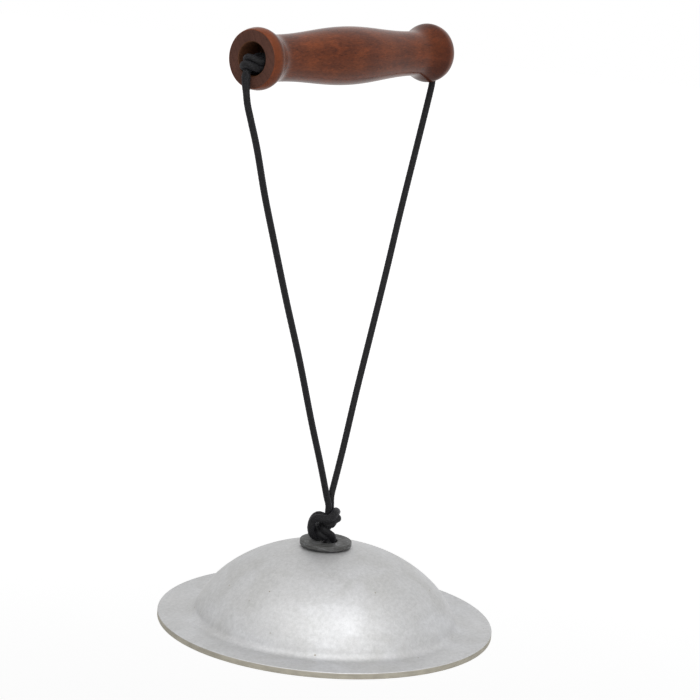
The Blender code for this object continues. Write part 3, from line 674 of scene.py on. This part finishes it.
def braided(name, first, last):
    """A braided tube along samples `first` to `last` of the whole cord, with closed ends."""
    angles = np.linspace(0, 2 * math.pi, BRAID_SIDES, endpoint=False)
    form = bmesh.new()
    layer = form.loops.layers.uv.new("braid")
    rings = []
    for k in range(first, last + 1):
        height = braid_height(angles / (2 * math.pi) * BRAID_STRANDS, LAYS[k])
        core = CORD_CORE + (KNOTTED_CORE - CORD_CORE) * TIGHT[k]
        radius = core + BRAID_RISE * height
        to_end = min(ARC[k], ARC[-1] - ARC[k])
        rounded = core * END_ROUND
        if to_end < rounded:
            radius = radius * math.sqrt(max(END_BLUNTNESS, 1 - (1 - to_end / rounded) ** 2))
        ways = np.cos(angles)[:, None] * SIDE[k] + np.sin(angles)[:, None] * OVER[k]
        out = flattened(LINE[k], radius[:, None] * ways)
        if name in UPPER_PIECES:
            from_end = min(ARC[k] - ARC[first], ARC[last] - ARC[k])
            out = squeezed(LINE[k], ALONG[k], out, min(1.0, from_end / SQUEEZE_RUN))
        rings.append([form.verts.new(place) for place in LINE[k] + out])
    for k, (low_ring, high_ring) in enumerate(zip(rings, rings[1:]), first):
        for side in range(BRAID_SIDES):
            after = (side + 1) % BRAID_SIDES
            face = form.faces.new(
                (low_ring[side], low_ring[after], high_ring[after], high_ring[side]))
            face.smooth = True
            turn, next_turn = (end / BRAID_SIDES * BRAID_STRANDS for end in (side, side + 1))
            low, high = LAYS[k], LAYS[k + 1]
            corners = ((turn, low), (next_turn, low), (next_turn, high), (turn, high))
            for loop, corner in zip(face.loops, corners):
                loop[layer].uv = corner
    for ring, k in ((rings[0][::-1], first), (rings[-1], last)):
        middle = form.verts.new(LINE[k])
        for side in range(BRAID_SIDES):
            form.faces.new((ring[side], ring[(side + 1) % BRAID_SIDES], middle))
    return object_of(name, form)


CORDS = {}
for number, (name, cad_node, _, _) in enumerate(ROUTE):
    piece = braided(name, FIRSTS[number], FIRSTS[number + 1])
    CORDS[name] = piece
    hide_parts(cad_node)

# The legs and necks keep their world places; the pieces at the handle go with the sling, those at
# the bell with the hanger
for name in ("braid_left_leg", "braid_right_leg"):
    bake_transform(CORDS[name])
for name in ("braid_left_neck", "braid_right_neck"):
    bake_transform(CORDS[name])
for name in ("braid_joining_bore_end", "braid_bore_strand", "braid_joining_leg_end"):
    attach(CORDS[name], "sling")
for name in ("braid_upper_right", "braid_lower_knot", "braid_upper_left"):
    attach(CORDS[name], "hanger")


def declare_leg(name):
    """Prints the length of a leg's line, from the handle's lip towards the knot on the bell."""
    number = [part[0] for part in ROUTE].index(name)
    path = LINE[FIRSTS[number]:FIRSTS[number + 1] + 1]
    if name == "braid_left_leg":
        path = path[::-1]
    route_length(path)
    print(f"{name}: {route_length(path) / MM:.1f} mm")


declare_leg("braid_left_leg")
declare_leg("braid_right_leg")


# Turned pieces

SHARP_ANGLE = math.radians(30)
VARNISHED, END_GRAIN, DRILLED = range(3)
# The bell's last material is the painted shadow on the wall of its hole
BLASTED, SAWN, TURNED_INSIDE, PAINTED_HOLE_SHADE = range(4)
RAW_IN_TOP_ROUND = 3
RAW_IN_LOW_ROUND = 2
HOLE_SEGMENTS = 3


def arc(centre, radius, start, stop, count):
    """`count` points on an arc from `start` to `stop` degrees."""
    angles = np.linspace(math.radians(start), math.radians(stop), count)
    return [(centre[0] + radius * math.cos(a), centre[1] + radius * math.sin(a)) for a in angles]


def spread(line, count):
    """`count` points of a line, closer together where it turns faster."""
    turning = norm(np.diff(directions(line), axis=0), axis=1)
    length = norm(np.diff(line, axis=0), axis=1)
    weight = np.r_[0, np.cumsum(turning / turning.sum() + length / length.sum())]
    stops = np.linspace(0, weight[-1], count)
    picked = [np.interp(stops, weight, line[:, k]) for k in range(2)]
    return [(float(r), float(z)) for r, z in zip(*picked)]


def fillet_middle(line):
    """Centre of the fillet that touches both the dome's line and the brim's flat top."""
    low, high = DOME_RADIUS - BRIM_FILLET, DOME_RADIUS + 2 * BRIM_FILLET
    for _ in range(FILLET_HALVINGS):
        middle = (low + high) / 2
        centre = np.array([middle, BELL_WALL + BRIM_FILLET])
        if norm(line - centre, axis=1).min() < BRIM_FILLET:
            low = middle
        else:
            high = middle
    return centre


def turned(name, outline, steps, place, zones, materials):
    """A closed outline of (radius, height) turned round the third axis of `place`; `zones` gives
    each outline segment's material number."""
    form = bmesh.new()
    rings = []
    for step in range(steps):
        angle = 2 * math.pi * step / steps
        turn = (math.cos(angle), math.sin(angle))
        rings.append([form.verts.new((r * turn[0], r * turn[1], z)) for r, z in outline])
    for here, there in zip(rings, rings[1:] + rings[:1]):
        for k, zone in enumerate(zones):
            after = (k + 1) % len(outline)
            face = form.faces.new((here[k], there[k], there[after], here[after]))
            face.material_index = zone
            face.smooth = True
    bmesh.ops.recalc_face_normals(form, faces=form.faces[:])
    obj = object_of(name, form)
    obj.data.set_sharp_from_angle(angle=SHARP_ANGLE)
    for finish in materials:
        obj.data.materials.append(finish)
    obj.matrix_world = place
    return obj


def bell_outline():
    """Closed outline of the bell's wall, and the material number of each of its segments."""
    line = dome_line()
    hole = BELL_HOLE_RADIUS + HOLE_CHAMFER
    centre = fillet_middle(line)
    touch = int(norm(line - centre, axis=1).argmin())
    flank = line[:touch + 1]
    outer = spread(flank[flank[:, 0] > hole], DOME_POINTS)
    to_touch = line[touch] - centre
    start = math.degrees(math.atan2(to_touch[1], to_touch[0])) % 360
    outer += arc(centre, BRIM_FILLET, start, 270, FILLET_POINTS)[1:]
    edge = BELL_RADIUS - BRIM_EDGE_ROUND
    outer += arc((edge, BELL_WALL - BRIM_EDGE_ROUND), BRIM_EDGE_ROUND, 90, 0, ROUND_POINTS)
    sawn_from = len(outer) - RAW_IN_TOP_ROUND
    outer += arc((edge, BRIM_EDGE_ROUND), BRIM_EDGE_ROUND, 0, -90, ROUND_POINTS)
    sawn_to = len(outer) - RAW_IN_LOW_ROUND
    under_line = inner_dome(line)
    foot_middle = (under_line[-1][0] + UNDER_EDGE_ROUND, UNDER_EDGE_ROUND)
    foot = arc(foot_middle, UNDER_EDGE_ROUND, 270, 180, ROUND_POINTS + 1)
    inner = spread(under_line[under_line[:, 0] > hole], DOME_POINTS)[::-1]
    hole_wall = [
        (BELL_HOLE_RADIUS, inner[-1][1] + HOLE_CHAMFER),
        (BELL_HOLE_RADIUS, outer[0][1] - HOLE_CHAMFER),
    ]
    whole = outer + foot + inner + hole_wall
    zones = [BLASTED] * sawn_from + [SAWN] * (sawn_to - sawn_from)
    # The hole's wall takes the painted shadow of the hole
    zones += [TURNED_INSIDE] * (len(whole) - sawn_to - HOLE_SEGMENTS) + [PAINTED_HOLE_SHADE] * HOLE_SEGMENTS
    return whole, zones


def handle_outline():
    """Closed outline of the handle's wall, and the material number of each of its segments."""
    end = HANDLE_LENGTH / 2
    neck = end - NECK_INSET
    half = []
    for share in np.linspace(0, 1, GRIP_POINTS):
        ease = 0.5 + 0.5 * math.cos(math.pi * share)
        half.append((NECK_RADIUS + (GRIP_RADIUS - NECK_RADIUS) * ease, neck * share))
    for share in np.linspace(0, 1, FLANGE_POINTS + 1)[1:]:
        ease = smoothstep(share ** FLANGE_LATENESS)
        along = neck + (NECK_INSET - FLANGE_INSET) * share
        half.append((NECK_RADIUS + (FLANGE_RADIUS - NECK_RADIUS) * ease, along))
    fall_length = FLANGE_INSET - FACE_ROUND
    for share in np.linspace(0, 1, LIP_POINTS + 1)[1:]:
        fall = (FLANGE_RADIUS - FACE_RADIUS) * (share * fall_length / FLANGE_INSET) ** 2
        half.append((FLANGE_RADIUS - fall, end - FLANGE_INSET + fall_length * share))
    corner = half[-1][0] - FACE_ROUND
    half += arc((corner, end - FACE_ROUND), FACE_ROUND, 0, 90, FACE_ROUND_POINTS)[1:]
    face_from = len(half) - 1
    floor = end - COUNTERBORE_DEPTH
    half += [
        (COUNTERBORE_RADIUS + COUNTERBORE_CHAMFER, end),
        (COUNTERBORE_RADIUS, end - COUNTERBORE_CHAMFER),
        (COUNTERBORE_RADIUS, floor + COUNTERBORE_CORNER),
        (COUNTERBORE_RADIUS - COUNTERBORE_CORNER, floor),
        (BORE_RADIUS + BORE_CHAMFER, floor),
        (BORE_RADIUS, floor - BORE_CHAMFER),
    ]
    mirrored = [(r, -x) for r, x in half[1:]]
    inside = 2 * (len(half) - face_from) - 3
    outside = [VARNISHED] * face_from
    zones = outside + [END_GRAIN] + [DRILLED] * inside + [END_GRAIN] + outside
    return half + mirrored[::-1], zones


def washer_outline():
    """Closed outline of a washer, with four rounded edges."""
    half = WASHER_THICK / 2 - WASHER_ROUND
    edge = WASHER_OUTER - WASHER_ROUND
    hole = WASHER_INNER + WASHER_ROUND
    corners = ((edge, half, 90), (edge, -half, 0), (hole, -half, 270), (hole, half, 180))
    outline = []
    for r, z, start in corners:
        outline += arc((r, z), WASHER_ROUND, start, start - 90, WASHER_ROUND_POINTS)
    return outline


# Materials

class Nodes:
    """A node tree, with short ways to add nodes to it."""

    def __init__(self, tree):
        self.tree = tree

    def add(self, kind, inputs=(), **settings):
        node = self.tree.nodes.new("ShaderNode" + kind)
        for key, value in settings.items():
            setattr(node, key, value)
        for socket, value in dict(inputs).items():
            if isinstance(value, bpy.types.NodeSocket):
                self.tree.links.new(value, node.inputs[socket])
            else:
                node.inputs[socket].default_value = value
        return node

    def math(self, operation, a, b=0.0):
        return self.add("Math", {0: a, 1: b}, operation=operation).outputs[0]

    def mapped(self, value, span, to_span=(0.0, 1.0), interpolation="SMOOTHSTEP"):
        """`value` mapped from one range to another."""
        inputs = enumerate((value, *span, *to_span))
        return self.add("MapRange", inputs, interpolation_type=interpolation).outputs[0]

    def shown(self):
        """1 for rays that show the backdrop, straight or in metal or glass, else 0."""
        rays = self.add("LightPath").outputs
        share = 0.0
        for kind in ("Camera", "Glossy", "Transmission"):
            share = self.math("MAXIMUM", share, rays[f"Is {kind} Ray"])
        return share


class Finish(Nodes):
    """A material's node tree, with short ways to add noise, ramps, tints and bumps to it."""

    def __init__(self, name, roughness, metallic=0.0, **sockets):
        self.material = bpy.data.materials.new(name)
        self.material.use_nodes = True
        super().__init__(self.material.node_tree)
        self.shader = self.tree.nodes["Principled BSDF"]
        self.shader.inputs["Roughness"].default_value = roughness
        self.shader.inputs["Metallic"].default_value = metallic
        for socket, value in sockets.items():
            self.shader.inputs[socket.replace("_", " ")].default_value = value
        self.places = self.add("TexCoord").outputs
        self.base = self.surface = None

    def spot(self, source="Object"):
        return self.add("SeparateXYZ", {0: self.places[source]}).outputs

    def place(self, scale, shift=(0, 0, 0)):
        spots = {"Vector": self.places["Object"], "Scale": scale, "Location": shift}
        return self.add("Mapping", spots).outputs["Vector"]

    def noise(self, scale, detail=3.0, rough=0.5, shift=(0, 0, 0), distortion=0.0):
        inputs = {"Vector": self.place(scale, shift), "Scale": 1.0, "Detail": detail,
                  "Roughness": rough, "Distortion": distortion}
        return self.add("TexNoise", inputs).outputs["Fac"]

    def growth_rings(self, along, **waves):
        """Rings round the middle of the tree, stretched along the grain."""
        inputs = {key.replace("_", " "): value for key, value in waves.items()}
        inputs["Vector"] = self.place((1.0, 1.0, along), TREE_MIDDLE)
        return self.add("TexWave", inputs, wave_type="RINGS", rings_direction="Z",
                        wave_profile="SAW").outputs["Fac"]

    def ramp(self, value, *stops):
        """`stops` are (place, value) or (place, colour)."""
        node = self.add("ValToRGB", {"Fac": value})
        parts = node.color_ramp.elements
        while len(parts) < len(stops):
            parts.new(0.5)
        for part, (place, shade) in zip(parts, stops):
            part.position = place
            part.color = (shade, shade, shade, 1) if isinstance(shade, float) else (*shade, 1)
        return node.outputs["Color"]

    def start(self, value, *stops):
        """Starts the base colour as a ramp."""
        self.base = self.ramp(value, *stops)

    def mix(self, share, colour, blend="MIX"):
        """Turns the base colour towards another."""
        sides = {0: share, 6: self.base, 7: colour}
        self.base = self.add("Mix", sides, data_type="RGBA", blend_type=blend).outputs[2]

    def tone(self, value, *stops):
        """Multiplies the base colour by a ramp."""
        self.mix(1.0, self.ramp(value, *stops), "MULTIPLY")

    def tint(self, colour, value, *stops):
        """Turns the base colour towards another by a ramp."""
        self.mix(self.ramp(value, *stops), (*colour, 1))

    def chosen(self, share, a, b):
        """The number `a` where `share` is 0, and `b` where it is 1."""
        return self.add("Mix", {0: share, 2: a, 3: b}, data_type="FLOAT").outputs[0]

    def bump(self, height, distance, strength):
        """Adds a bump over those before it."""
        inputs = {"Height": height, "Distance": distance, "Strength": strength}
        if self.surface:
            inputs["Normal"] = self.surface
        self.surface = self.add("Bump", inputs).outputs["Normal"]

    def done(self, **sockets):
        """The material, with its base colour, bumps and other values connected."""
        for socket, value in {"Base_Color": self.base, "Normal": self.surface, **sockets}.items():
            if value:
                self.tree.links.new(value, self.shader.inputs[socket.replace("_", " ")])
        return self.material


# The tree's middle, where painted shade darkens the handle along to its right end and more so down
# its lower side, and where the stain wears thin on the lips
TREE_MIDDLE = (0.034, 0.052, 0.0)
SHADED_END_SPAN = (0.052, 0.070)
SHADED_UNDERSIDE_SPAN = (-0.014, 0.004)
UNDERSIDE_SHADE_SHARES = (0.30, 0.72)
LIP_SPAN = (0.0703, 0.0722)


def wood_finish():
    """Stained and varnished wood: growth rings cut along the grain, pores and blotched stain."""
    make = Finish("varnished_wood", 0.45, Coat_Weight=0.85, Coat_Roughness=0.22, Coat_IOR=1.24,
                  Specular_IOR_Level=0.0)
    wander = make.noise((60, 60, 14))
    rings = make.growth_rings(0.3, Scale=80.0, Distortion=6.0, Detail=3.0, Detail_Scale=16.0,
                              Detail_Roughness=0.6)
    blotch = make.noise((75, 75, 34), 4.0, rough=0.6, shift=(3, 1, 2))
    flame = make.noise((230, 230, 60), 4.0, rough=0.65, shift=(1, 5, 3), distortion=0.8)
    fleck = make.noise((1500, 1500, 420), 2.5, rough=0.65, shift=(6, 2, 5))
    pores = make.noise((2600, 2600, 300), 2.0, rough=0.6)
    make.start(blotch, (0.30, (0.078, 0.0185, 0.0075)), (0.50, (0.126, 0.0310, 0.0115)),
               (0.70, (0.192, 0.0480, 0.0150)))
    make.tint((0.300, 0.068, 0.0200), flame, (0.46, 0.0), (0.72, 0.48))
    make.tint((0.320, 0.082, 0.0270), fleck, (0.56, 0.0), (0.74, 0.42))
    make.tone(fleck, (0.28, 0.62), (0.44, 1.0))
    make.tone(rings, (0.0, 1.0), (0.70, 0.94), (1.0, 0.74))
    make.tone(pores, (0.30, 0.60), (0.46, 1.0))
    spot = make.spot()
    # Painted shade: the right end darkens towards its tip, more so on its lower side than on its
    # top
    painted_end_shade = make.mapped(spot["Z"], SHADED_END_SPAN)
    painted_underside_shade = make.mapped(spot["X"], SHADED_UNDERSIDE_SPAN, UNDERSIDE_SHADE_SHARES)
    make.mix(make.math("MULTIPLY", painted_end_shade, painted_underside_shade), (0.055, 0.014, 0.007, 1))
    lip = make.mapped(make.math("ABSOLUTE", spot["Z"]), LIP_SPAN)
    worn = make.math("MULTIPLY", lip, make.ramp(wander, (0.35, 0.25), (0.65, 0.70)))
    make.mix(worn, (0.210, 0.054, 0.0190, 1))
    make.bump(fleck, 0.00002, 0.5)
    make.bump(wander, 0.00012, 0.6)
    return make.done(Roughness=make.ramp(flame, (0.2, 0.50), (0.8, 0.38)))


def end_face_finish():
    """The handle's end grain: matt, darker, with arcs of growth rings and open pores."""
    make = Finish("end_grain", 0.62, Specular_IOR_Level=0.08, Coat_Weight=0.1,
                  Coat_Roughness=0.4, Coat_IOR=1.25)
    rings = make.growth_rings(0.35, Scale=95.0, Distortion=2.0, Detail=2.0, Detail_Scale=15.0)
    pores = make.noise((1700, 1700, 300), 2.0, rough=0.6)
    soft = make.noise((120, 120, 120))
    make.start(soft, (0.3, (0.080, 0.036, 0.0260)), (0.7, (0.114, 0.050, 0.036)))
    make.tone(rings, (0.0, 1.0), (0.8, 0.92), (1.0, 0.70))
    make.tone(pores, (0.30, 0.6), (0.48, 1.0))
    make.bump(pores, 0.00006, 0.6)
    return make.done()


def bore_finish():
    """Drilled wood with tool rings, on the walls of the counterbores and the bore."""
    make = Finish("drilled_wood", 0.75, Specular_IOR_Level=0.2)
    tool = make.noise((25, 25, 1400), 2.0)
    soft = make.noise((200, 200, 60))
    make.start(soft, (0.3, (0.075, 0.030, 0.014)), (0.7, (0.135, 0.052, 0.024)))
    make.tone(tool, (0.3, 0.7), (0.6, 1.0))
    make.bump(tool, 0.00008, 0.6)
    return make.done()


def bell_finish():
    """Bead-blasted aluminium: fine grain, cloudy patches, a few faint marks and pits."""
    make = Finish("blasted_metal", 0.57, metallic=0.78)
    clouds = make.noise((42, 42, 60), 3.5, rough=0.55, distortion=0.6)
    broad = make.noise((15, 15, 20), 2.0, shift=(4, 2, 7))
    grain = make.noise((1500, 1500, 1500), 2.0, rough=0.65)
    speck = make.noise((520, 520, 520), 2.0, rough=0.6, shift=(2, 9, 4))
    make.start(clouds, (0.30, (0.535, 0.535, 0.532)), (0.50, (0.585, 0.588, 0.595)),
               (0.70, (0.635, 0.640, 0.655)))
    make.tint((0.600, 0.597, 0.588), broad, (0.35, 0.0), (0.65, 0.45))
    make.tone(grain, (0.25, 0.88), (0.75, 1.0))
    make.tone(speck, (0.28, 0.88), (0.66, 1.0))
    spots = {"Vector": make.place((95, 95, 95)), "Scale": 1.0, "Randomness": 1.0}
    cells = make.add("TexVoronoi", spots).outputs["Distance"]
    pit = make.ramp(cells, (0.028, 1.0), (0.055, 0.0))
    make.mix(pit, (0.30, 0.27, 0.22, 1))
    make.bump(grain, 0.00004, 0.55)
    make.bump(clouds, 0.0004, 0.35)
    make.bump(pit, -0.00015, 0.8)
    return make.done(Roughness=make.ramp(clouds, (0.25, 0.64), (0.75, 0.52)))


def raw_edge_finish():
    """The bell's sawn edge: warm grey, with fine tool marks along the rim."""
    make = Finish("raw_edge", 0.58, metallic=0.35)
    marks = make.noise((70, 70, 3200), 2.0, rough=0.6)
    soft = make.noise((160, 160, 160), shift=(1, 1, 6))
    make.start(soft, (0.3, (0.36, 0.335, 0.275)), (0.7, (0.46, 0.43, 0.355)))
    make.tone(marks, (0.3, 0.78), (0.6, 1.0))
    make.bump(marks, 0.00005, 0.6)
    return make.done()


TOOL_RINGS = 5200.0


def inside_finish():
    """The bell's turned inside: the same metal with faint rings left by the tool."""
    make = Finish("turned_metal", 0.46, metallic=1.0)
    clouds = make.noise((40, 40, 40), shift=(9, 3, 1))
    grain = make.noise((1300, 1300, 1300), 2.0)
    spot = make.spot()
    squares = [make.math("MULTIPLY", spot[name], spot[name]) for name in "XY"]
    reach = make.math("SQRT", make.math("ADD", *squares))
    tool = make.math("SINE", make.math("MULTIPLY", reach, TOOL_RINGS))
    make.start(clouds, (0.3, (0.42, 0.42, 0.415)), (0.7, (0.54, 0.54, 0.545)))
    make.tone(grain, (0.25, 0.88), (0.7, 1.0))
    make.bump(tool, 0.00002, 0.5)
    make.bump(grain, 0.00003, 0.4)
    return make.done()


def hole_shadow_finish():
    """The wall of the hole in the crown, painted near-black for the shadow inside the hole."""
    make = Finish("shadowed_hole", 0.7, metallic=0.2)
    soft = make.noise((600, 600, 600), 2.0, shift=(5, 5, 1))
    # Painted shadow: a near-black colour for the shade in the hole
    make.start(soft, (0.3, (0.020, 0.020, 0.020)), (0.7, (0.075, 0.074, 0.072)))
    return make.done()


def washer_finish():
    """Dark grey rubber, mottled and scuffed."""
    make = Finish("scuffed_rubber", 0.5, Specular_IOR_Level=0.4)
    mottle = make.noise((420, 420, 420), 4.0, rough=0.6)
    scuff = make.noise((160, 160, 900), 4.0, rough=0.7, shift=(7, 2, 2), distortion=1.5)
    make.start(mottle, (0.3, (0.048, 0.048, 0.046)), (0.7, (0.084, 0.084, 0.081)))
    make.tint((0.21, 0.215, 0.225), scuff, (0.54, 0.0), (0.70, 0.8))
    make.tint((0.020, 0.020, 0.020), scuff, (0.32, 0.9), (0.48, 0.0))
    make.bump(mottle, 0.00008, 0.5)
    make.bump(scuff, 0.00010, 0.5)
    return make.done(Roughness=make.ramp(scuff, (0.3, 0.62), (0.7, 0.42)))


# How fast the threads' noise changes across a strand, along it and to the next strand
THREADS_ACROSS = 7.0
THREADS_ALONG = 0.7
NEXT_STRAND = 3.7


def cord_finish():
    """Black polyester braid: each strand is a bundle of fine threads, with a dull sheen."""
    make = Finish("black_polyester_braid", 0.55, Specular_IOR_Level=0.14, Sheen_Weight=0.10,
                  Sheen_Roughness=0.45, Sheen_Tint=(0.62, 0.60, 0.72, 1.0))
    spot = make.spot("UV")
    one = make.math("ADD", spot["X"], spot["Y"])
    other = make.math("SUBTRACT", spot["X"], spot["Y"])
    cells = make.math("SUBTRACT", make.math("FLOOR", one), make.math("FLOOR", other))
    first_on_top = make.math("LESS_THAN", make.math("FLOORED_MODULO", cells, 4.0), 1.5)
    across = make.chosen(first_on_top, other, one)
    along = make.chosen(first_on_top, one, other)
    thread_place = make.add("CombineXYZ", {
        0: make.math("MULTIPLY", across, THREADS_ACROSS),
        1: make.math("MULTIPLY", along, THREADS_ALONG),
        2: make.math("MULTIPLY", make.math("FLOOR", across), NEXT_STRAND),
    }).outputs[0]
    threads = make.add("TexNoise", {"Vector": thread_place, "Scale": 1.0, "Detail": 2.0,
                                    "Roughness": 0.6}).outputs["Fac"]
    fray = make.noise((900, 900, 900), 2.0, shift=(3, 3, 3))
    make.start(threads, (0.30, (0.0030, 0.0030, 0.0032)), (0.54, (0.0090, 0.0090, 0.0095)),
               (0.76, (0.050, 0.048, 0.058)))
    make.tone(fray, (0.3, 0.75), (0.7, 1.0))
    make.bump(threads, 0.00012, 0.8)
    return make.done()


BRAID = cord_finish()
for piece in CORDS.values():
    piece.data.materials.append(BRAID)

ALONG_X = Matrix.Rotation(math.radians(90), 4, "Y")
WOOD = [wood_finish(), end_face_finish(), bore_finish()]
outline, zones = handle_outline()
handle = turned("turned_handle", outline, HANDLE_STEPS, ALONG_X, zones, WOOD)
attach(handle, "handle")
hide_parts("handle")

METAL = [bell_finish(), raw_edge_finish(), inside_finish(), hole_shadow_finish()]
outline, zones = bell_outline()
bell = turned("spun_bell", outline, BELL_STEPS, BELL_PLACE, zones, METAL)
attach(bell, "bell")
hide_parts("bell")

RUBBER = [washer_finish()]
outline = washer_outline()
for name, centre in (("upper_washer", UPPER_CENTRE), ("lower_washer", LOWER_CENTRE)):
    place = BELL_PLACE @ Matrix.Translation(centre)
    washer = turned(f"{name}_ring", outline, WASHER_STEPS, place, [0] * len(outline), RUBBER)
    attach(washer, name)
    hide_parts(name)


# Stage, light and world

FLOOR_DROP = 0.75
FLOOR_HALF = 9.0
FLOOR_COLOUR = (0.82, 0.82, 0.82, 1.0)
FLOOR_ROUGHNESS = 0.9
FLOOR_SPAN = (0.9, 3.0)
FLOOR_GLOWS = (0.46, 0.78)
WHITE = (1, 1, 1, 1)
WORLD_LIGHTS = (0.38, 1.0)
MIDDLE = Vector((0.0, 0.0, -0.16))


def make_floor():
    """A pale floor that the camera sees glow, more so towards its far edge."""
    mesh = bpy.data.meshes.new("floor")
    ways = ((-1, -1), (1, -1), (1, 1), (-1, 1))
    corners = [(x * FLOOR_HALF, y * FLOOR_HALF, -FLOOR_DROP) for x, y in ways]
    mesh.from_pydata(corners, [], [(0, 1, 2, 3)])
    make = Finish("pale_floor", FLOOR_ROUGHNESS, Base_Color=FLOOR_COLOUR, Specular_IOR_Level=0.0,
                  Emission_Color=WHITE)
    reach = make.add("VectorMath", {0: make.places["Object"]}, operation="LENGTH").outputs["Value"]
    level = make.mapped(reach, FLOOR_SPAN, FLOOR_GLOWS, "LINEAR")
    glow = make.math("MULTIPLY", make.shown(), level)
    mesh.materials.append(make.done(Emission_Strength=glow))
    added("floor", mesh)


def soft_lamp(name, place, size, power):
    """A square lamp that faces the part."""
    data = bpy.data.lights.new(name, "AREA")
    data.shape = "SQUARE"
    data.size = size
    data.energy = power
    lamp = added(name, data)
    lamp.location = place
    lamp.rotation_mode = "QUATERNION"
    lamp.rotation_quaternion = (MIDDLE - Vector(place)).to_track_quat("-Z", "Y")


def make_world():
    """A white room to the camera, whose walls light the part less brightly than they look."""
    world = bpy.data.worlds.new("white_room")
    bpy.context.scene.world = world
    world.use_nodes = True
    make = Nodes(world.node_tree)
    background = make.tree.nodes["Background"]
    background.inputs["Color"].default_value = WHITE
    level = make.mapped(make.shown(), (0.0, 1.0), WORLD_LIGHTS, "LINEAR")
    make.tree.links.new(level, background.inputs["Strength"])


make_floor()
make_world()
soft_lamp("overhead_softbox", (-0.74, -0.72, 1.06), 1.8, 18.0)
soft_lamp("front_softbox", (-1.04, -1.54, -0.42), 2.3, 12.0)

bpy.context.scene.view_settings.view_transform = "Standard"
